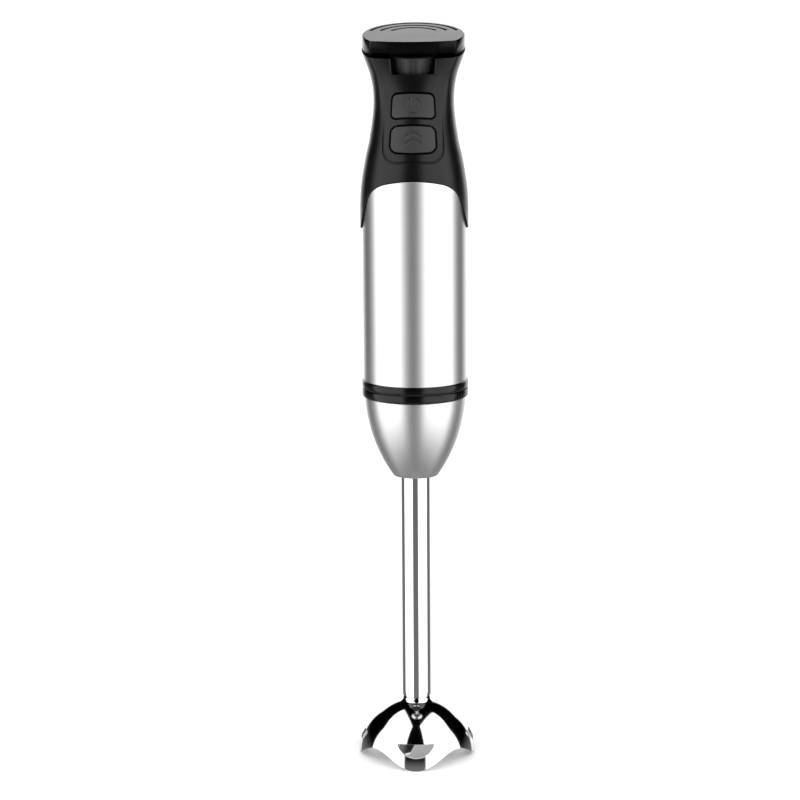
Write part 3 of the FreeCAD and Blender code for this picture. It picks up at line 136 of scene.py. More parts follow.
def make_world():
    """Two large softboxes either side of the camera, a wall behind and a grey ground for the
    blender to mirror, and pure white to the eye."""
    world = bpy.data.worlds.new("studio")
    world.use_nodes = True
    bpy.context.scene.world = world
    tree = world.node_tree
    tree.nodes.clear()
    generated = node(tree, "ShaderNodeTexCoord").outputs["Generated"]
    direction = node(tree, "ShaderNodeSeparateXYZ", {0: generated}).outputs
    panels = maths(tree, "ADD", *(softbox(tree, direction, *box) for box in SOFTBOXES))
    boxes = maths(tree, "MULTIPLY", panels, BOX_LIGHT)
    elevation = maths(tree, "ARCSINE", direction[2])
    far_ground = ramp(tree, elevation, -0.35, 0.14, start=0.24, end=0.0)
    near_ground = ramp(tree, elevation, -1.0, -0.4, start=0.12, end=0.0)
    ground = maths(tree, "ADD", far_ground, near_ground)
    light = maths(tree, "ADD", maths(tree, "ADD", boxes, bright_wall(tree, direction)), ground)
    studio = node(tree, "ShaderNodeBackground", {"Color": light})
    white = node(tree, "ShaderNodeBackground", {"Color": (1, 1, 1, 1), "Strength": 1.1})
    seen = node(tree, "ShaderNodeLightPath").outputs["Is Camera Ray"]
    both = node(tree, "ShaderNodeMixShader", {0: seen, 1: studio.outputs[0], 2: white.outputs[0]})
    node(tree, "ShaderNodeOutputWorld", {"Surface": both.outputs[0]})


def make_floor():
    """A white floor that takes shadows and that no mirror reflection shows."""
    mesh = bpy.data.meshes.new("floor")
    half = 6.0
    corners = [(-half, -half, 0), (half, -half, 0), (half, half, 0), (-half, half, 0)]
    mesh.from_pydata(corners, [], [(0, 1, 2, 3)])
    floor = bpy.data.objects.new("floor", mesh)
    bpy.context.scene.collection.objects.link(floor)
    floor.visible_glossy = False
    white = bpy.data.materials.new("floor_white")
    white.use_nodes = True
    tree = white.node_tree
    tree.nodes.clear()
    matt = node(tree, "ShaderNodeBsdfDiffuse", {"Color": (0.9, 0.9, 0.9, 1)})
    glow = node(tree, "ShaderNodeEmission", {"Color": (1, 1, 1, 1), "Strength": 0.12})
    both = node(tree, "ShaderNodeAddShader", {0: matt.outputs[0], 1: glow.outputs[0]})
    node(tree, "ShaderNodeOutputMaterial", {"Surface": both.outputs[0]})
    mesh.materials.append(white)


bpy.context.scene.view_settings.view_transform = "Standard"
make_camera()
make_world()
make_floor()


# ----- Materials -----

materials = {}


def paint(name, colour, roughness, metallic=0.0, grain=0.0, grain_size=0.2, streak=(1, 1, 1), **extra):
    """A material whose surface has a fine grain: a noise, stretched along streak, in its
    colour, roughness and bump.  grain_size is in millimetres."""
    made = bpy.data.materials.new(name)
    made.use_nodes = True
    tree = made.node_tree
    tree.nodes.clear()
    shader = node(tree, "ShaderNodeBsdfPrincipled", {"Metallic": metallic})
    place = node(tree, "ShaderNodeTexCoord").outputs["Object"]
    scale = tuple(1000 / grain_size * share for share in streak)
    stretch = node(tree, "ShaderNodeMapping", {"Vector": place, "Scale": scale}).outputs[0]
    noise = node(tree, "ShaderNodeTexNoise", {"Vector": stretch, "Scale": 1.0, "Detail": 3.0}).outputs[0]
    cloud = node(tree, "ShaderNodeTexNoise", {"Vector": place, "Scale": 60.0, "Detail": 2.0}).outputs[0]
    spread = maths(tree, "ADD", maths(tree, "MULTIPLY", noise, 0.6), maths(tree, "MULTIPLY", cloud, 0.4))
    low = tuple(c * (1 - 0.5 * grain) for c in colour) + (1,)
    high = tuple(min(1.0, c * (1 + 0.5 * grain)) for c in colour) + (1,)
    # A colour mix has its two colours at inputs 6 and 7, and gives its result at output 2.
    tint = node(tree, "ShaderNodeMix", {"Factor": spread, 6: low, 7: high}, data_type="RGBA")
    tree.links.new(tint.outputs[2], shader.inputs["Base Color"])
    low, high = roughness * (1 - grain), roughness * (1 + grain)
    limits = {"From Min": 0.3, "From Max": 0.7, "To Min": low, "To Max": high}
    rough = node(tree, "ShaderNodeMapRange", {"Value": spread, **limits})
    tree.links.new(rough.outputs[0], shader.inputs["Roughness"])
    bump = node(tree, "ShaderNodeBump", {"Height": noise, "Strength": grain, "Distance": 0.00002})
    tree.links.new(bump.outputs[0], shader.inputs["Normal"])
    for key, value in extra.items():
        shader.inputs[key.replace("_", " ")].default_value = value
    node(tree, "ShaderNodeOutputMaterial", {"Surface": shader.outputs[0]})
    materials[name] = made


paint("satin_black_plastic", (0.001, 0.001, 0.001), 0.3, grain=0.15, grain_size=0.25, Specular_IOR_Level=0.24)
paint("cap_grey_plastic", (0.0004, 0.0004, 0.0004), 0.22, grain=0.1, grain_size=0.3, Specular_IOR_Level=0.13)
paint("button_grey_plastic", (0.026, 0.026, 0.027), 0.45, grain=0.2, grain_size=0.3, Specular_IOR_Level=0.25)
paint("ring_black_plastic", (0.0005, 0.0005, 0.0005), 0.2, grain=0.1, grain_size=0.3, Specular_IOR_Level=0.25)
paint("inner_plastic", (0.05, 0.05, 0.052), 0.5, grain=0.2, grain_size=0.3)
paint("white_plastic", (0.75, 0.75, 0.73), 0.45, grain=0.1, grain_size=0.3)
paint("brushed_steel", (0.58, 0.58, 0.58), 0.36, 1.0, grain=0.02, grain_size=0.1, streak=(1, 1, 0.02))
paint("polished_steel", (0.62, 0.62, 0.62), 0.07, 1.0, grain=0.08, grain_size=0.2)
paint("blade_steel", (0.6, 0.6, 0.6), 0.2, 1.0, grain=0.1, grain_size=0.15, streak=(1, 0.05, 1))
paint("shaft_steel", (0.5, 0.5, 0.5), 0.25, 1.0, grain=0.1)
paint("lamination_steel", (0.3, 0.3, 0.31), 0.4, 1.0, grain=0.3, grain_size=0.5, streak=(0.02, 0.02, 1))
paint("copper_wire", (0.75, 0.32, 0.14), 0.3, 1.0, grain=0.3, grain_size=0.5, streak=(0.02, 0.02, 1))
paint("copper_bar", (0.8, 0.4, 0.22), 0.3, 1.0, grain=0.1)
paint("bronze", (0.6, 0.42, 0.2), 0.4, 1.0, grain=0.2)
paint("carbon", (0.02, 0.02, 0.02), 0.6, 0.2, grain=0.3)
paint("cast_aluminium", (0.6, 0.6, 0.61), 0.45, 1.0, grain=0.3, grain_size=0.6)
paint("rubber", (0.02, 0.02, 0.02), 0.7, grain=0.2)
paint("board_green", (0.002, 0.012, 0.006), 0.5, grain=0.2, Specular_IOR_Level=0.2)


# ----- Shape tools -----
# An outline is an array of (across, up) points.  A closed outline or an open line runs
# with its sheet on the left.

# Where the points of a turned piece stand round its axis.
FULL_TURN = np.linspace(0, 2 * math.pi, 256, endpoint=False)


def sides(line, wrap=None):
    """Unit directions of the sides before and after each point.  wrap is the width
    after which an open line repeats, or None for a closed outline."""
    if wrap is None:
        before, after = np.roll(line, 1, 0), np.roll(line, -1, 0)
    else:
        turn = np.array([math.copysign(wrap, line[-1, 0] - line[0, 0]), 0.0])
        before = np.vstack((line[-2] - turn, line[:-1]))
        after = np.vstack((line[1:], line[1] + turn))
    return [step / np.linalg.norm(step, axis=1, keepdims=True) for step in (line - before, after - line)]


def inset(line, distance, wrap=None):
    """The line moved to its left, its corners mitred."""
    first, second = (np.column_stack((-step[:, 1], step[:, 0])) for step in sides(line, wrap))
    share = 1 + (first * second).sum(1, keepdims=True)
    return line + distance * (first + second) / np.maximum(share, 0.2)


def rounded(points, radii, spacing, closed=True):
    """A polygon with arcs for corners, as points at most spacing apart."""
    points = np.array(points, float)
    radii = np.broadcast_to(radii, len(points))
    path = []
    for index, (corner, radius) in enumerate(zip(points, radii)):
        ends = not closed and index in (0, len(points) - 1)
        if radius == 0 or ends:
            path.append(corner)
            continue
        back, ahead = points[index - 1] - corner, points[(index + 1) % len(points)] - corner
        back, ahead = back / np.linalg.norm(back), ahead / np.linalg.norm(ahead)
        half = math.acos(np.clip(back @ ahead, -1, 1)) / 2
        reach = radius / math.tan(half)
        middle = (back + ahead) / np.linalg.norm(back + ahead)
        centre = corner + middle * radius / math.sin(half)
        start, end = corner + back * reach - centre, corner + ahead * reach - centre
        swing = math.pi - 2 * half
        count = max(2, math.ceil(radius * swing / spacing))
        for share in np.linspace(0, 1, count + 1):
            path.append(centre + (start * math.sin((1 - share) * swing) + end * math.sin(share * swing))
                        / math.sin(swing))
    return spaced(np.array(path), spacing, closed)


def spaced(line, spacing, closed=True):
    """The line with points added so that none are further apart than spacing."""
    following = np.roll(line, -1, 0) if closed else np.vstack((line[1:], line[-1:]))
    made = []
    for point, end in zip(line, following):
        count = max(1, math.ceil(np.linalg.norm(end - point) / spacing - 1e-6))
        made += [point + (end - point) * step / count for step in range(count)]
    return np.array(made)


def clockwise(line):
    """A closed outline turned to run clockwise, as a hole does."""
    following = np.roll(line, -1, 0)
    area = (line[:, 0] * following[:, 1] - following[:, 0] * line[:, 1]).sum()
    return line[::-1] if area > 0 else line


def inside(points, outline):
    """Which points an outline goes round."""
    x, y = points[:, :1], points[:, 1:]
    start, end = outline, np.roll(outline, -1, 0)
    spans = (start[:, 1] > y) != (end[:, 1] > y)
    rise = np.where(end[:, 1] == start[:, 1], 1e-12, end[:, 1] - start[:, 1])
    crossing = (end[:, 0] - start[:, 0]) * (y - start[:, 1]) / rise + start[:, 0]
    return (spans & (x < crossing)).sum(1) % 2 == 1


def joint_lines(low_line, top, count):
    """Lines up from the end and down to the start of a line that goes once round a piece."""
    rise = np.linspace(low_line[-1, 1], top, count)[1:-1]
    right, left = (np.column_stack((np.full(len(rise), low_line[end, 0]), rise)) for end in (-1, 0))
    return right, left[::-1]


class Form:
    """A closed piece made of sheets and strips.  place(across, up, depth) gives the
    points, in millimetres, that lie depth under the piece's surface."""

    def __init__(self, place):
        self.place = place
        self.points, self.normals, self.faces = [], [], []
        self.count = 0

    def add(self, line, depth, on_surface=False, flip=1.0):
        """New points.  Those on the surface itself are shaded with its own normal."""
        across, up = line[:, 0], line[:, 1]
        normals = np.zeros((len(line), 3))
        if on_surface:
            step = 0.03
            east = self.place(across + step, up, depth) - self.place(across - step, up, depth)
            north = self.place(across, up + step, depth) - self.place(across, up - step, depth)
            normals = np.cross(east, north)
            normals *= flip / np.linalg.norm(normals, axis=1, keepdims=True)
        return self.add_points(self.place(across, up, depth), normals)

    def add_points(self, points, normals=None):
        self.points.append(points)
        self.normals.append(np.zeros((len(points), 3)) if normals is None else normals)
        self.count += len(points)
        return np.arange(self.count - len(points), self.count)

    def strip(self, line, further, closed=True):
        """Faces from one line of points to the next.  Returns the next one."""
        count = len(line) if closed else len(line) - 1
        for step in range(count):
            after = (step + 1) % len(line)
            self.faces.append((line[after], line[step], further[step], further[after]))
        return further

    def edge(self, line, radius, depth=0.0, wrap=None, steps=4):
        """A rounded edge along an outline.  Returns the sheet's border with its indices, and
        the indices of the edge's foot."""
        closed = wrap is None
        shore = inset(line, radius, wrap)
        border = last = self.add(shore, depth, True)
        for step in range(1, steps + 1):
            angle = math.pi / 2 * step / steps
            moved = inset(line, radius * (1 - math.sin(angle)), wrap)
            last = self.strip(last, self.add(moved, depth + radius * (1 - math.cos(angle))), closed)
        return (shore, border), last

    def hole(self, line, radius, depth, flare=0.0, steps=4):
        """A hole through to depth, wider there by flare.  Returns its two borders."""
        border, foot = self.edge(line, radius, steps=steps)
        behind = inset(line, flare)
        return border, (behind, self.strip(foot, self.add(behind, depth)))

    def belt(self, low, high, joint, depth, on_surface=False, flip=1.0):
        """The border of a sheet that goes once round a piece, from its lower and its upper
        border and the two lines at which it is joined."""
        right, left = (self.add(line, depth, on_surface, flip) for line in joint)
        line = np.vstack((low[0], joint[0], high[0], joint[1]))
        return line, np.concatenate((low[1], right, high[1], left))

    def sheet(self, borders, depth, spacing, lines=(), flip=1.0):
        """Triangles between borders.  Each border is (line, indices); the first goes
        round the sheet, the others are holes.  lines are open lines on the sheet."""
        flat = [line for line, _ in borders]
        low, high = flat[0].min(0), flat[0].max(0)
        columns, rows = (np.arange(start, end, spacing) for start, end in zip(low, high))
        grid = np.stack(np.meshgrid(columns, rows), -1).reshape(-1, 2)
        grid = grid[inside(grid, flat[0])]
        for hole in flat[1:]:
            grid = grid[~inside(grid, hole)]
        taken = np.vstack(flat + list(lines))
        clear = [((taken - point) ** 2).sum(1).min() > (0.5 * spacing) ** 2 for point in grid]
        grid = grid[np.array(clear, bool)] if len(grid) else grid
        inner = np.vstack(list(lines) + [grid])
        index = np.concatenate([known for _, known in borders] + [self.add(inner, depth, True, flip)])
        points = np.vstack(flat + [inner])
        edges, start = [], 0
        for line in flat:
            edges += [(start + step, start + (step + 1) % len(line)) for step in range(len(line))]
            start += len(line)
        for line in lines:
            edges += [(start + step, start + step + 1) for step in range(len(line) - 1)]
            start += len(line)
        made = delaunay_2d_cdt([Vector(point) for point in points], edges, [], 2, 1e-7)
        origin = np.array([known[0] for known in made[3]])
        faces = origin[np.array(made[2])]
        centres = points[faces].mean(1)
        for hole in flat[1:]:
            kept = ~inside(centres, hole)
            faces, centres = faces[kept], centres[kept]
        first, second = points[faces[:, 1]] - points[faces[:, 0]], points[faces[:, 2]] - points[faces[:, 0]]
        wrong = (first[:, 0] * second[:, 1] - second[:, 0] * first[:, 1]) * flip < 0
        faces[wrong] = faces[wrong][:, ::-1]
        self.faces += [tuple(face) for face in index[faces]]

    def build(self, name, slot, body, *replaced, sharp=40.0):
        """The mesh as a piece with its material, riding on a body."""
        points, normals = np.vstack(self.points), np.vstack(self.normals)
        _, first, same = np.unique(np.round(points, 4), axis=0, return_index=True, return_inverse=True)
        same = same.reshape(-1)
        faces = []
        for face in self.faces:
            corners = list(dict.fromkeys(int(same[corner]) for corner in face))
            if len(corners) > 2:
                faces.append(corners)
        summed = np.zeros((len(first), 3))
        np.add.at(summed, same, normals)
        length = np.linalg.norm(summed, axis=1, keepdims=True)
        summed = np.where(length > 0, summed / np.maximum(length, 1e-9), 0)
        mesh = bpy.data.meshes.new(name)
        mesh.from_pydata((points[first] * MM).tolist(), [], faces, shade_flat=False)
        mesh.validate()
        mesh.set_sharp_from_angle(angle=math.radians(sharp))
        mesh.normals_split_custom_set_from_vertices(summed.tolist())
        return finished(name, mesh, slot, body, *replaced)


def finished(name, mesh, slot, body, *replaced):
    """The mesh as an object that rides on a body and replaces CAD nodes."""
    piece = bpy.data.objects.new(name, mesh)
    bpy.context.scene.collection.objects.link(piece)
    mesh.materials.append(materials[slot])
    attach(piece, body)
    if replaced:
        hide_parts(*replaced)
    return piece


def lathe(name, slot, body, *replaced, profile, turn=FULL_TURN):
    """A closed (radius, height) profile turned about Z.  A radius may differ round the turn."""
    form = Form(None)
    rows = [form.add_points(np.column_stack((r * np.sin(turn), -r * np.cos(turn), np.full(len(turn), z))))
            for r, z in profile]
    for row, following in zip(rows, rows[1:] + rows[:1]):
        form.strip(following, row)
    return form.build(name, slot, body, *replaced, sharp=35.0)


def leaning_out(origin, degrees):
    """A function from the coordinates of a frame turned about X to the model's."""
    c, s = math.cos(math.radians(degrees)), math.sin(math.radians(degrees))

    def out(x, y, z):
        return np.column_stack((x, origin[1] + y * c - z * s, origin[2] + y * s + z * c))

    return out


def leaning_plan(origin, degrees):
    """A function from the model's points to x and z in a frame turned about X."""
    c, s = math.cos(math.radians(degrees)), math.sin(math.radians(degrees))

    def plan(points):
        return points[:, 0], (points[:, 2] - origin[2]) * c - (points[:, 1] - origin[1]) * s

    return plan


def smooth_table(heights, values, at):
    """A smooth curve through a table, for each of the heights in at."""
    slopes = np.gradient(values, heights)
    index = np.clip(np.searchsorted(heights, at) - 1, 0, len(heights) - 2)
    span = heights[index + 1] - heights[index]
    t = (at - heights[index]) / span
    return (values[index] * (1 + 2 * t) * (1 - t) ** 2 + slopes[index] * span * t * (1 - t) ** 2
            + values[index + 1] * t ** 2 * (3 - 2 * t) - slopes[index + 1] * span * t ** 2 * (1 - t))


# ----- Grip -----

# Cross-sections from the skirt up: height at the sides, radius of the round back, its
# middle in Y, half width of the front corners, distance of the front from the middle,
# and tilt in degrees.
GRIP = np.array((
    (280.0, 28.90, 0.0, 20.0, 28.90, 0.0),
    (294.0, 28.90, 0.0, 20.0, 28.90, 0.0),
    (306.0, 28.90, 0.0, 20.0, 28.90, 0.0),
    (315.0, 28.50, 0.0, 20.0, 28.50, 0.0),
    (324.0, 27.35, 0.0, 19.0, 27.35, 0.0),
    (334.0, 25.50, 0.4, 18.0, 25.50, 0.0),
    (344.0, 23.35, 1.0, 17.0, 23.35, 0.0),
    (353.0, 21.95, 1.8, 16.5, 21.20, 0.0),
    (361.0, 21.30, 2.3, 16.5, 18.80, 2.0),
    (368.0, 21.55, 2.4, 17.2, 17.70, 5.0),
    (376.0, 22.95, 2.2, 18.2, 17.30, 10.0),
    (384.0, 25.60, 1.9, 20.6, 17.80, 15.0),
    (389.2, 27.46, 1.7, 22.4, 18.40, 17.0),
    (394.0, 29.20, 1.6, 24.1, 19.00, 18.4),
))
TURN = 23.0                     # millimetres of across for a radian round the axis
GRIP_START = -2.4 * TURN        # where the grip's sheet is joined, clear of the buttons and the inlet
GRIP_ROUND = 2 * math.pi * TURN
GRIP_WALL, GRIP_BLEND = 2.2, 1.2
SKIRT_BORE, SKIRT_TOP = 27.05, 318.0
SEAM_HEIGHT, SEAM_MIDDLE, SEAM_SLOPE = 389.2, 1.7, math.tan(math.radians(17.0))

PANEL_HEIGHT, GLAND_HEIGHT, CAP_HEIGHT, HEAD_LEAN = 351.0, 381.2, 396.6, 13.6
panel_plan = leaning_plan((0, -19.7, PANEL_HEIGHT), -17.0)
gland_plan = leaning_plan((0, 26.4, GLAND_HEIGHT), -17.0)
dial_out = leaning_out((0, -2.6, 382.3), HEAD_LEAN)
cap_out = leaning_out((0, 0, CAP_HEIGHT), HEAD_LEAN)


def grip_bare(across, up, depth):
    """A point on the grip's form, without the groove round the buttons.  Its distance from
    the axis is found by moving it out or in until it is depth under the round back or the
    bowed front, which meet in a blend."""
    turn = across / TURN
    side, ahead = np.sin(turn), -np.cos(turn)
    level = np.array(up, float)
    reach = np.full(len(turn), 25.0)
    for _ in range(24):
        section = [smooth_table(GRIP[:, 0], GRIP[:, key], level) for key in range(1, 6)]
        radius, middle, corner, front, tilt = section
        tilt = np.radians(tilt)
        x, y = reach * side, reach * ahead
        level = np.clip(up - (y - middle) * np.tan(tilt), GRIP[0, 0], GRIP[-1, 0])
        y = (y - middle) / np.cos(tilt)
        bow = front - np.sqrt(radius ** 2 - corner ** 2)
        bow_radius = (corner ** 2 + bow ** 2) / (2 * bow)
        back = np.hypot(x, y) - radius
        face = np.hypot(x, y + front - bow_radius) - bow_radius
        blend = np.minimum(GRIP_BLEND, 0.8 * (radius - front)) + 1e-6
        overlap = np.maximum(blend - np.abs(back - face), 0) / blend
        reach = reach - (np.maximum(back, face) + overlap ** 2 * blend / 4 + depth)
    if np.max(depth) > 1:
        reach = np.where(up < SKIRT_TOP, np.maximum(reach, SKIRT_BORE), reach)
    return np.column_stack((reach * side, reach * ahead, up))


def settled(targets, flatten, place, start, mirror=1.0):
    """The (across, up) points whose places flatten to the targets."""
    found = np.array(start, float) + np.column_stack((mirror * targets[:, 0], targets[:, 1]))
    for _ in range(25):
        across, up = flatten(place(found[:, 0], found[:, 1], 0.0))
        found += np.column_stack((mirror * (targets[:, 0] - across), targets[:, 1] - up))
    return found


def front_plan(points):
    return points[:, 0], points[:, 2]


# The groove is at its full size below its bend, and fades out at its high ends.
GROOVE_WIDTH, GROOVE_DEPTH, GROOVE_BEND, GROOVE_HIGH = 1.6, 0.6, -8.0, 6.0


def groove_line():
    """The middle of the U-shaped groove round the buttons, in the panel's frame."""
    half, high_half, low = 15.8, 15.4, -20.8
    corners = [(-high_half, GROOVE_HIGH), (-half, GROOVE_BEND), (-half, low),
               (half, low), (half, GROOVE_BEND), (high_half, GROOVE_HIGH)]
    return rounded(corners, (0, 20, 8.2, 8.2, 20, 0), 0.7, closed=False)


groove_path = settled(groove_line(), panel_plan, grip_bare, (0, PANEL_HEIGHT))
groove_size = np.clip((GROOVE_HIGH - groove_line()[:, 1]) / (GROOVE_HIGH - GROOVE_BEND), 0, 1)


def grip_place(across, up, depth):
    """A point on the grip, with the groove pressed into its outside."""
    if np.max(depth) > 1:
        return grip_bare(across, up, depth)
    points = np.column_stack((across, up))
    sunk = np.zeros(len(points))
    low, high = groove_path.min(0) - GROOVE_WIDTH, groove_path.max(0) + GROOVE_WIDTH
    near = np.all((points > low) & (points < high), axis=1)
    if near.any():
        gap = np.linalg.norm(points[near][:, None] - groove_path[None], axis=2)
        nearest = gap.argmin(1)
        size = groove_size[nearest]
        share = np.clip(gap.min(1) / (GROOVE_WIDTH / 2 * (0.4 + 0.6 * size)), 0, 1)
        sunk[near] = GROOVE_DEPTH * size * (1 - share ** 2) ** 2
    return grip_bare(across, up, depth + sunk)


def beside(path, distance):
    """An open line moved to its left."""
    step = np.gradient(path, axis=0)
    step /= np.linalg.norm(step, axis=1, keepdims=True)
    return path + distance * np.column_stack((-step[:, 1], step[:, 0]))


# The grip's lower edge: a crown, two straight sides that lean out, and round corners between.
ARCH_TOP, ARCH_CORNER, ARCH_CORNER_HEIGHT, ARCH_FOOT, ARCH_FOOT_HEIGHT = 321.5, 23.75, 317.0, 29.6, 291.9
ARCH_ROUND = 14.0


def arch_height(across, gap=0.0):
    """Height of the arch where the grip meets the steel, at a distance from the middle."""
    top, corner, corner_height, foot = (ARCH_TOP + gap, ARCH_CORNER + gap, ARCH_CORNER_HEIGHT + gap,
                                        ARCH_FOOT + gap)
    rise = top - corner_height
    radius = (corner ** 2 + rise ** 2) / (2 * rise)
    low = top - radius
    along = np.array((foot - corner, ARCH_FOOT_HEIGHT - corner_height))
    along /= np.linalg.norm(along)
    inward = np.array((along[1], -along[0]))
    start = np.array((corner, corner_height)) + ARCH_ROUND * inward - (0, low)
    run = -start @ along - math.sqrt((start @ along) ** 2 - start @ start + (radius - ARCH_ROUND) ** 2)
    centre = start + run * along
    first = centre[0] * radius / (radius - ARCH_ROUND)
    last = centre[0] - ARCH_ROUND * inward[0]
    across = np.abs(across)
    crown = low + np.sqrt(np.maximum(radius ** 2 - across ** 2, 0))
    bend = low + centre[1] + np.sqrt(np.maximum(ARCH_ROUND ** 2 - (across - centre[0]) ** 2, 0))
    side = corner_height + (across - corner) * along[1] / along[0]
    return np.where(across < first, crown, np.where(across < last, bend, side))


def crossing(across, place, height, low, high):
    """How far up a form meets a surface whose height depends on the place."""
    low, high = np.full(len(across), low), np.full(len(across), high)
    for _ in range(30):
        middle = (low + high) / 2
        points = place(across, middle, 0.0)
        above = middle > height(points)
        low, high = np.where(above, low, middle), np.where(above, middle, high)
    return np.column_stack((across, (low + high) / 2))


def seam_height(points):
    return SEAM_HEIGHT + (points[:, 1] - SEAM_MIDDLE) * SEAM_SLOPE


def grip_arch(points):
    return arch_height(points[:, 0])


DIAL_WINDOW = ((12.2, 384.0), (11.55, 376.0), (-11.55, 376.0), (-12.2, 384.0))
POWER = {"low": 3.2, "high": 15.7, "low_half": 11.2, "high_half": 10.4, "corner": 2.4, "sag": 0.0}
TURBO = {"low": -14.2, "high": -1.5, "low_half": 11.9, "high_half": 11.2, "corner": 3.3, "sag": 1.5}
# The gap round a button, and how much wider it is at the inside of the grip's wall.
BUTTON_GAP, BUTTON_FLARE = 0.85, 1.2
GLAND_RADIUS = 6.1


def button_line(size, grow, spacing=0.5):
    """A button's outline in the panel's frame, grown all round."""
    low, high = size["low"] - grow, size["high"] + grow
    low_half, high_half = size["low_half"] + grow, size["high_half"] + grow
    line = rounded([(-low_half, low), (low_half, low), (high_half, high), (-high_half, high)],
                   size["corner"] + grow, spacing)
    share = np.clip((high - line[:, 1]) / (high - low), 0, 1) ** 2
    line[:, 1] -= size["sag"] * share * (1 - (line[:, 0] / low_half) ** 2)
    return line


def circle(radius, count):
    turn = np.linspace(0, 2 * math.pi, count, endpoint=False)
    return np.column_stack((radius * np.cos(turn), radius * np.sin(turn)))


def make_grip():
    """The black shell: arched skirt, waist, seam and dial window, with the groove round the buttons."""
    spacing = 1.0
    form = Form(grip_place)
    across = GRIP_START + np.linspace(0, GRIP_ROUND, math.ceil(GRIP_ROUND / spacing) + 1)
    low_line = crossing(across, grip_bare, grip_arch, 285.0, 325.0)
    window = settled(rounded(DIAL_WINDOW, (0, 0.8, 0.8, 0), 0.6, closed=False), front_plan, grip_bare, (0, 0))
    window[[0, -1]] = crossing(window[[0, -1], 0], grip_bare, seam_height, 375.0, 395.0)
    right = across[across > window[0, 0] + 0.5][::-1]
    left = across[across < window[-1, 0] - 0.5][::-1]
    high_line = np.vstack((crossing(right, grip_bare, seam_height, 375.0, 402.0), window,
                           crossing(left, grip_bare, seam_height, 375.0, 402.0)))
    low, low_foot = form.edge(low_line, 0.4, wrap=GRIP_ROUND)
    high, high_foot = form.edge(high_line, 0.4, wrap=GRIP_ROUND)
    low_inner, high_inner = form.add(low_line, GRIP_WALL), form.add(high_line, GRIP_WALL)
    form.strip(low_foot, low_inner, closed=False)
    form.strip(high_foot, high_inner, closed=False)
    joint = joint_lines(low[0], high[0][0, 1], 80)
    borders = [form.belt(low, high, joint, 0.0, True)]
    inner_borders = [form.belt((low_line, low_inner), (high_line, high_inner), joint, GRIP_WALL)]
    holes = [(settled(button_line(size, BUTTON_GAP), panel_plan, grip_bare, (0, PANEL_HEIGHT)), BUTTON_FLARE)
             for size in (POWER, TURBO)]
    inlet = circle(GLAND_RADIUS, 48)
    holes.append((settled(inlet, gland_plan, grip_bare, (math.pi * TURN, GLAND_HEIGHT), -1.0), 0.0))
    for line, flare in holes:
        outer, inner = form.hole(clockwise(line), 0.35, GRIP_WALL, flare)
        borders.append(outer)
        inner_borders.append(inner)
    offsets = (-0.5, -0.38, -0.25, -0.12, 0.0, 0.12, 0.25, 0.38, 0.5)
    lines = [beside(groove_path, offset * GROOVE_WIDTH) for offset in offsets]
    form.sheet(borders, 0.0, spacing, lines)
    form.sheet(inner_borders, GRIP_WALL, 2.5, flip=-1.0)
    form.build("grip", "satin_black_plastic", "motor_unit", "handle_shell")


# Depths under the grip's form: the face of a button, which stands proud, and its back.
BUTTON_PROUD, BUTTON_BACK, SYMBOL_DEPTH = -0.5, 3.0, 0.3


def power_lines(centre):
    """A broken circle with an upright bar in its gap."""
    outer, inner, half_gap, half_bar = 4.3, 3.6, 1.3, 0.35
    first, last = math.acos(half_gap / outer), math.acos(half_gap / inner)
    sweep = np.linspace(math.pi - first, 2 * math.pi + first, 60)
    back = np.linspace(2 * math.pi + last, math.pi - last, 50)
    ring = np.vstack((outer * np.column_stack((np.cos(sweep), np.sin(sweep))),
                      inner * np.column_stack((np.cos(back), np.sin(back)))))
    bar = spaced(np.array(((-half_bar, 0.6), (half_bar, 0.6), (half_bar, 4.9), (-half_bar, 4.9))), 0.5)
    return [ring + (0, centre), bar + (0, centre)]


def turbo_lines(centre):
    """Two chevrons, one above the other."""
    half, rise, stroke = 4.2, 2.6, 0.9
    made = []
    for low in (-3.4, 0.2):
        corners = np.array(((-half, low), (0, low + rise), (half, low), (half, low + stroke),
                            (0, low + rise + stroke), (-half, low + stroke)))
        made.append(spaced(corners, 0.5) + (0, centre))
    return made


def make_button(name, size, symbols):
    """A button that stands a little proud of the grip, with a sunk symbol."""
    form = Form(grip_bare)
    line = settled(button_line(size, 0.0), panel_plan, grip_bare, (0, PANEL_HEIGHT))
    border, foot = form.edge(line, 0.6, BUTTON_PROUD)
    below = form.strip(foot, form.add(line, BUTTON_BACK))
    borders = [border]
    for symbol in symbols((size["low"] + size["high"]) / 2):
        hole = clockwise(settled(symbol, panel_plan, grip_bare, (0, PANEL_HEIGHT)))
        top = form.add(hole, BUTTON_PROUD)
        floor = form.strip(top, form.add(hole, BUTTON_PROUD + SYMBOL_DEPTH))
        borders.append((hole, top))
        form.sheet([(hole[::-1], floor[::-1])], BUTTON_PROUD + SYMBOL_DEPTH, 0.6)
    form.sheet(borders, BUTTON_PROUD, 0.8)
    form.sheet([(line, below)], BUTTON_BACK, 2.0, flip=-1.0)
    form.build(name + "_face", "button_grey_plastic", name + "_button", name + "_button")


# ----- Cap and dial -----

CAP_RADIUS, CAP_CORNER, CAP_FRONT, CAP_ROOF, CAP_WALL, CAP_GAP = 26.95, 22.3, 17.6, 2.2, 2.0, 0.15
NOTCH_HALF, NOTCH_TOP, CAP_BLEND, SLOT_HALF = 12.25, 385.3, 0.6, 0.75


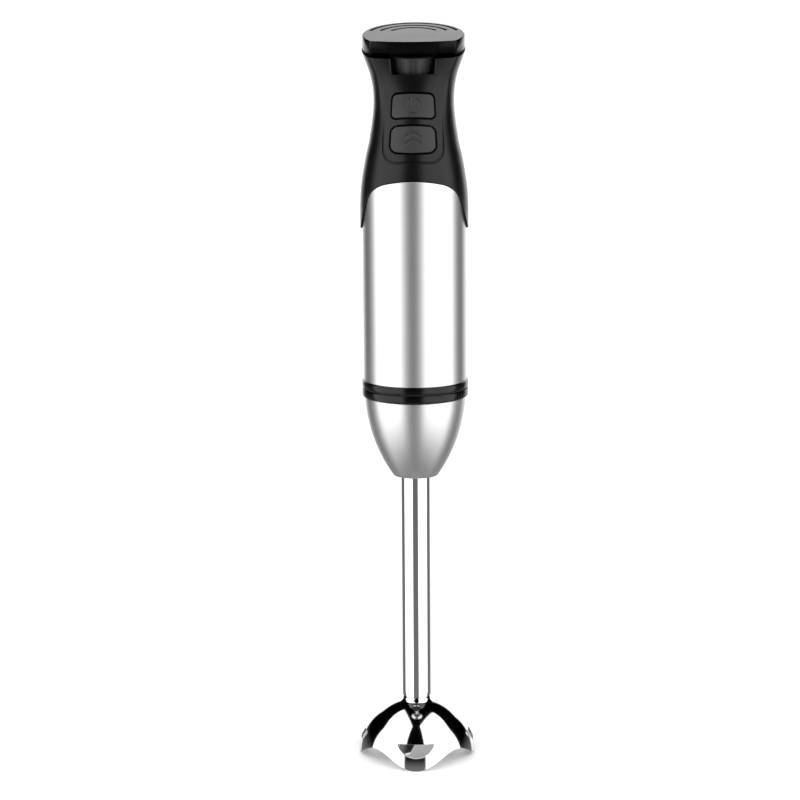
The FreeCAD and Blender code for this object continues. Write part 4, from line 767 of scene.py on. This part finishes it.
def cap_line(spacing=0.8):
    """The cap's D-shaped outline with rounded corners."""
    depth = math.sqrt(CAP_RADIUS ** 2 - CAP_CORNER ** 2)
    bow = CAP_FRONT - depth
    bow_radius = (CAP_CORNER ** 2 + bow ** 2) / (2 * bow)
    turn = np.linspace(0, 2 * math.pi, 1440, endpoint=False)
    x, y = np.sin(turn), -np.cos(turn)
    reach = np.full(len(turn), CAP_RADIUS)
    for _ in range(30):
        back = reach - CAP_RADIUS
        face = np.hypot(reach * x, reach * y + CAP_FRONT - bow_radius) - bow_radius
        overlap = np.maximum(CAP_BLEND - np.abs(back - face), 0) / CAP_BLEND
        reach = reach - (np.maximum(back, face) + overlap ** 2 * CAP_BLEND / 4)
    dense = np.column_stack((reach * x, reach * y))
    dense = np.vstack((dense, dense[:1]))
    length = np.concatenate(([0], np.cumsum(np.linalg.norm(np.diff(dense, axis=0), axis=1))))
    at = np.linspace(0, length[-1], math.ceil(length[-1] / spacing), endpoint=False)
    return np.column_stack([np.interp(at, length, dense[:, key]) for key in (0, 1)])


def cap_place(across, up, depth):
    return cap_out(across, up, -depth + np.zeros(len(across)))


def cap_slots():
    """Three arc-shaped vents behind the middle of the cap."""
    made, low = [], 8.2
    for radius in (24.0, 19.0, 14.0):
        half = math.acos(low / radius)
        start, end = math.pi / 2 - half, math.pi / 2 + half
        count = math.ceil(radius * 2 * half / 0.7)
        out = np.linspace(start, end, count)
        outer, inner = ((radius + side) * np.column_stack((np.cos(way), np.sin(way)))
                        for side, way in ((SLOT_HALF, out), (-SLOT_HALF, out[::-1])))
        tips = []
        for angle, turned in ((end, 0.0), (start, math.pi)):
            sweep = angle + turned + np.linspace(0, math.pi, 7)[1:-1]
            middle = radius * np.array((math.cos(angle), math.sin(angle)))
            tips.append(middle + SLOT_HALF * np.column_stack((np.cos(sweep), np.sin(sweep))))
        made.append(clockwise(np.vstack((outer, tips[0], inner, tips[1]))))
    return made


def make_cap():
    """The leaning lid with its vents, cut off at the seam and notched over the dial."""
    form = Form(cap_place)
    line = cap_line()
    inner = inset(line, CAP_WALL)
    border, foot = form.edge(line, 0.7, steps=5)
    borders, ceilings = [border], [(inner, form.add(inner, CAP_ROOF))]
    for slot in cap_slots():
        above, under = form.hole(slot, 0.18, CAP_ROOF, steps=3)
        borders.append(above)
        ceilings.append(under)
    form.sheet(borders, 0.0, 1.6)
    form.sheet(ceilings, CAP_ROOF, 2.0, flip=-1.0)
    c, s = math.cos(math.radians(HEAD_LEAN)), math.sin(math.radians(HEAD_LEAN))
    rims = []
    for outline in (line, inner):
        x, y = outline.T
        # Local height at which the wall, square to the roof, meets the seam or the notch's top.
        rise = SEAM_HEIGHT + CAP_GAP - CAP_HEIGHT - y * s + (y * c - SEAM_MIDDLE) * SEAM_SLOPE
        seam, notch = rise / (c + s * SEAM_SLOPE), (NOTCH_TOP - CAP_HEIGHT - y * s) / c
        height = np.where((np.abs(x) < NOTCH_HALF) & (y < 0), notch, seam)
        rims.append(form.add_points(cap_out(x, y, height)))
    for ring in (*rims, ceilings[0][1]):
        foot = form.strip(foot, ring)
    form.build("cap", "cap_grey_plastic", "motor_unit", "top_cap")


def make_dial():
    """A ribbed thumb wheel with a raised pointer in a flat recess."""
    radius, half, corner, steps = 11.0, 4.4, 0.4, 1440
    recess, recess_half, pointer_turn, rib_height, rib_step = 0.6, 2.3, 0.042, 0.26, 6.5
    turn = np.linspace(-math.pi, math.pi, steps, endpoint=False)
    flat = np.minimum((radius - recess) / np.maximum(np.cos(turn), 0.2), radius)
    base = np.where(np.abs(radius * np.sin(turn)) < recess_half, flat, radius)
    base = np.where(np.abs(turn) < pointer_turn, radius - 0.1, base)
    rib = np.zeros(steps)
    for step in range(4, 25):
        for middle in (rib_step * step, -rib_step * step):
            away = (np.degrees(turn) - middle) / math.degrees(rib_height / radius)
            rib = np.maximum(rib, rib_height * np.sqrt(np.maximum(1 - away ** 2, 0)))
    # Share of the radius and height, up to the foot of the ribs, and mirrored above them.
    profile = [(0.0, -half), (0.6, -half)]
    profile += [(1 - corner / radius * (1 - math.sin(angle)), -half + corner * (1 - math.cos(angle)))
                for angle in np.radians((0, 22, 45, 67, 90))]
    profile += [(1.0, -half + 0.75)]
    profile += [(share, -height) for share, height in reversed(profile)]
    form = Form(None)
    rows = []
    for share, height in profile:
        reach = base * share + (rib if abs(height) < half - 0.7 else 0)
        points = dial_out(reach * np.sin(turn), -reach * np.cos(turn), np.full(steps, height))
        rows.append(form.add_points(points))
    for row, following in zip(rows, rows[1:]):
        form.strip(following, row)
    form.build("dial_wheel", "button_grey_plastic", "speed_dial", "speed_dial", sharp=50.0)


# ----- Steel sleeve and turned pieces -----

SLEEVE_RADIUS, SLEEVE_WALL, SLEEVE_LOW = 27.85, 0.8, 213.0


def sleeve_place(across, up, depth):
    turn = across / SLEEVE_RADIUS
    reach = SLEEVE_RADIUS - depth
    return np.column_stack((reach * np.sin(turn), -reach * np.cos(turn), up + np.zeros(len(turn))))


def make_sleeve():
    """The steel tube, its upper edge cut to the grip's arch at front and back."""
    round_trip = 2 * math.pi * SLEEVE_RADIUS
    across = np.linspace(-round_trip / 2, round_trip / 2, 361)
    arch = arch_height(SLEEVE_RADIUS * np.sin(across / SLEEVE_RADIUS), -0.15)
    high_line = np.column_stack((across, arch))[::-1]
    low_line = np.column_stack((across, np.full(len(across), SLEEVE_LOW)))
    form = Form(sleeve_place)
    (_, low_border), low_foot = form.edge(low_line, 0.15, wrap=round_trip, steps=2)
    (_, high_border), high_foot = form.edge(high_line, 0.25, wrap=round_trip, steps=3)
    form.strip(high_border[::-1], low_border, closed=False)
    low_inner, high_inner = form.add(low_line, SLEEVE_WALL), form.add(high_line, SLEEVE_WALL)
    form.strip(low_foot, low_inner, closed=False)
    form.strip(high_foot, high_inner, closed=False)
    form.strip(low_inner, high_inner[::-1], closed=False)
    form.build("sleeve", "brushed_steel", "motor_unit", "steel_sleeve")


def arc_through(first, middle, last, count):
    """Points on the circle through three points."""
    (ax, ay), (bx, by), (cx, cy) = first, middle, last
    d = 2 * (ax * (by - cy) + bx * (cy - ay) + cx * (ay - by))
    a, b, c = (x * x + y * y for x, y in (first, middle, last))
    centre = np.array(((a * (by - cy) + b * (cy - ay) + c * (ay - by)) / d,
                       (a * (cx - bx) + b * (ax - cx) + c * (bx - ax)) / d))
    radius = math.hypot(ax - centre[0], ay - centre[1])
    start, end = (math.atan2(y - centre[1], x - centre[0]) for x, y in (first, last))
    sweep = np.linspace(start, end, count)
    return centre + radius * np.column_stack((np.cos(sweep), np.sin(sweep)))


def three_sectors(first, last, inside_radius, outside_radius):
    """Angles round the turn, close together at the ends of three sectors (in degrees from
    the front), and the radius at each angle, in the sectors and out of them."""
    ends = np.radians([(end + third) % 360 for third in (0, 120, 240) for end in (first, last)])
    turn = np.sort(np.concatenate((FULL_TURN, ends - 1e-4, ends + 1e-4)))
    within = (np.degrees(turn) - first) % 120 < last - first
    return turn, np.where(within, inside_radius, outside_radius)


def make_motor_collar():
    """The upper black ring: a flange outside, and a socket whose slots take the lugs."""
    bottom, flange_top, slot_top, roof, top = 209.2, 213.0, 226.0, 230.0, 233.0
    shaft_hole, socket, slots, wall, flange = 7.5, 22.0, 23.4, 24.7, 28.8
    turn, bore = three_sectors(75, 139, slots, socket)
    outside = rounded([(24, bottom), (flange, bottom), (flange, flange_top), (wall, flange_top)],
                      (0, 0.4, 0.5, 0), 2.0, closed=False)
    profile = [(bore, bottom), *outside, (wall, top), (shaft_hole, top), (shaft_hole, roof), (socket, roof),
               (socket, slot_top), (bore, slot_top)]
    lathe("upper_ring", "ring_black_plastic", "motor_unit", "motor_collar", profile=profile, turn=turn)


def make_attachment_collar():
    """The lower black ring: a flange outside, and a hollow spigot with three lugs."""
    bottom, floor, flange_top, lug_low, lug_top, top = 204.4, 206.2, 208.5, 217.0, 221.0, 224.0
    shaft_hole, bore, spigot, lug, flange = 9.4, 18.0, 21.7, 22.8, 28.8
    turn, lugs = three_sectors(78, 102, lug, spigot)
    outside = rounded([(20, bottom), (flange, bottom), (flange, flange_top), (spigot, flange_top)],
                      (0, 0.5, 0.4, 0), 2.0, closed=False)
    profile = [(shaft_hole, bottom), *outside, (spigot, lug_low), (lugs, lug_low), (lugs, lug_top),
               (spigot, lug_top), (spigot, top), (bore, top), (bore, floor), (shaft_hole, floor)]
    lathe("lower_ring", "ring_black_plastic", "blending_attachment", "attachment_collar",
          profile=profile, turn=turn)


def make_shroud():
    """The flared steel shroud, a bell with a rolled lower edge."""
    low, waist, high, neck, wall = (12.36, 160.0), (22.9, 180.9), (27.37, 204.2), 8.08, 1.2
    outer = arc_through(low, waist, high, 48)
    inner = arc_through((low[0] - 0.3, low[1] + wall), (waist[0] - wall, waist[1]),
                        (high[0] - wall, high[1]), 48)
    corner = rounded([(neck, low[1]), outer[0], outer[1]], (0, 0.3, 0), 0.2, closed=False)
    profile = np.vstack((corner, outer[2:], inner[::-1], [(neck, low[1] + wall)]))
    lathe("shroud", "brushed_steel", "blending_attachment", "steel_shroud", profile=profile)


def make_tube_and_seal():
    """The shaft tube, and the rubber ring in the gap between the two black rings."""
    bore, outside, low, high = 7.05, 8.03, 33.0, 198.0
    tube = rounded([(bore, low), (outside, low), (outside, high), (bore, high)], (0, 0.8, 0.3, 0), 3.0)
    piece = lathe("tube", "polished_steel", "blending_attachment", "shaft_tube", profile=tube)
    # No mirror reflection shows the tube, which keeps the guard's dome dark.
    piece.visible_glossy = False
    bore, outside, low, high = 24.0, 28.0, 208.55, 209.15
    seal = rounded([(bore, low), (outside, low), (outside, high), (bore, high)], (0, 0.2, 0.2, 0), 1.0)
    lathe("seal_ring", "rubber", "coupling_seal", "coupling_seal", profile=seal)


# ----- Blade guard -----

GUARD_RADIUS, GUARD_HEIGHT, GUARD_WALL, NECK_RADIUS = 32.5, 31.7, 1.2, 8.6
# Half the width of an opening between two lobes, and half its height.
RIM_HALF, RIM_RISE = 22.0, 4.5
# Radius and height up the neck's flare, over its end and down its bore.
NECK = ((8.15, 30.85), (7.8, 31.3), (7.62, 31.8), (7.6, 33.0), (7.0, 33.0), (7.0, 29.4))


def guard_place(across, up, depth):
    """across and up are arc lengths round the rim and up the side of the half ellipsoid."""
    turn, rise = across / GUARD_RADIUS, up / GUARD_HEIGHT
    reach, height = (GUARD_RADIUS - depth) * np.cos(rise), (GUARD_HEIGHT - depth) * np.sin(rise)
    return np.column_stack((reach * np.sin(turn), -reach * np.cos(turn), height))


def guard_rim(across):
    """Four lobes that stand on the worktop, with the rim raised in a bell curve between them."""
    turn = across / GUARD_RADIUS
    away = turn % (math.pi / 2) - math.pi / 4
    height = np.zeros(len(turn))
    for _ in range(20):
        wide = np.sqrt(1 - (height / GUARD_HEIGHT) ** 2) * np.sin(away)
        bell = RIM_RISE * (1 + np.cos(4 * np.arcsin(wide)))
        height = np.where(np.abs(wide) < RIM_HALF / GUARD_RADIUS, bell, 0)
    return np.column_stack((across, GUARD_HEIGHT * np.arcsin(height / GUARD_HEIGHT)))


def guard_window(turn):
    """A half-moon in the side of the guard, drawn as seen square on from that side."""
    low, high, half, corner, count = 7.1, 14.3, 10.0, 0.8, 30
    moon = arc_through((-half, high - 1), (0, low), (half, high - 1), count)
    line = rounded(np.vstack((moon, [(half, high), (-half, high)])), [0] * count + [corner, corner], 0.6)
    rise = np.arcsin(line[:, 1] / GUARD_HEIGHT)
    across = GUARD_RADIUS * (np.arcsin(line[:, 0] / (GUARD_RADIUS * np.cos(rise))) + turn)
    return np.column_stack((across, GUARD_HEIGHT * rise))


def guard_vent(turn):
    """A round hole high in the dome, drawn as seen from above."""
    radius, forward = 2.2, 12.3
    flat = circle(radius, 32) + (0, -forward)
    rise = np.arccos(np.hypot(flat[:, 0], flat[:, 1]) / GUARD_RADIUS)
    across = GUARD_RADIUS * (np.arctan2(flat[:, 0], -flat[:, 1]) + turn)
    return np.column_stack((across, GUARD_HEIGHT * rise))


def make_guard():
    """The polished guard: a domed steel sheet with lobes, windows, two vents and a neck."""
    form = Form(guard_place)
    round_trip, quarter = 2 * math.pi * GUARD_RADIUS, math.pi / 2
    across = -quarter / 2 * GUARD_RADIUS + np.linspace(0, round_trip, 301)
    low_line = guard_rim(across)
    neck_up = GUARD_HEIGHT * math.acos(NECK_RADIUS / GUARD_RADIUS)
    high_line = np.column_stack((across, np.full(len(across), neck_up)))[::-1]
    low, low_foot = form.edge(low_line, 0.35, wrap=round_trip)
    low_inner = form.strip(low_foot, form.add(low_line, GUARD_WALL), closed=False)
    high_outer = last = form.add(high_line, 0.0)
    turn = high_line[:, 0] / GUARD_RADIUS
    for radius, height in NECK:
        ring = np.column_stack((radius * np.sin(turn), -radius * np.cos(turn), np.full(len(turn), height)))
        last = form.strip(last, form.add_points(ring), closed=False)
    high_inner = form.strip(last, form.add(high_line, GUARD_WALL), closed=False)
    joint = joint_lines(low[0], neck_up, 40)
    borders = [form.belt(low, (high_line, high_outer), joint, 0.0, True)]
    inner_borders = [form.belt((low_line, low_inner), (high_line, high_inner), joint, GUARD_WALL, True, -1.0)]
    holes = [guard_window(side * quarter) for side in range(4)] + [guard_vent(0), guard_vent(math.pi)]
    for line in holes:
        outer, inner = form.hole(clockwise(line), 0.15, GUARD_WALL, steps=3)
        borders.append(outer)
        inner_borders.append(inner)
    form.sheet(borders, 0.0, 1.1)
    form.sheet(inner_borders, GUARD_WALL, 1.1, flip=-1.0)
    form.build("guard", "polished_steel", "blending_attachment", "blade_guard")


# ----- The whole blender -----

# Every CAD node takes the material that its own is named after.
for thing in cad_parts.values():
    for slot in thing.material_slots:
        slot.material = materials[slot.material.name.split(".")[0]]

make_grip()
make_button("power", POWER, power_lines)
make_button("turbo", TURBO, turbo_lines)
make_cap()
make_dial()
make_sleeve()
make_motor_collar()
make_attachment_collar()
make_shroud()
make_tube_and_seal()
make_guard()
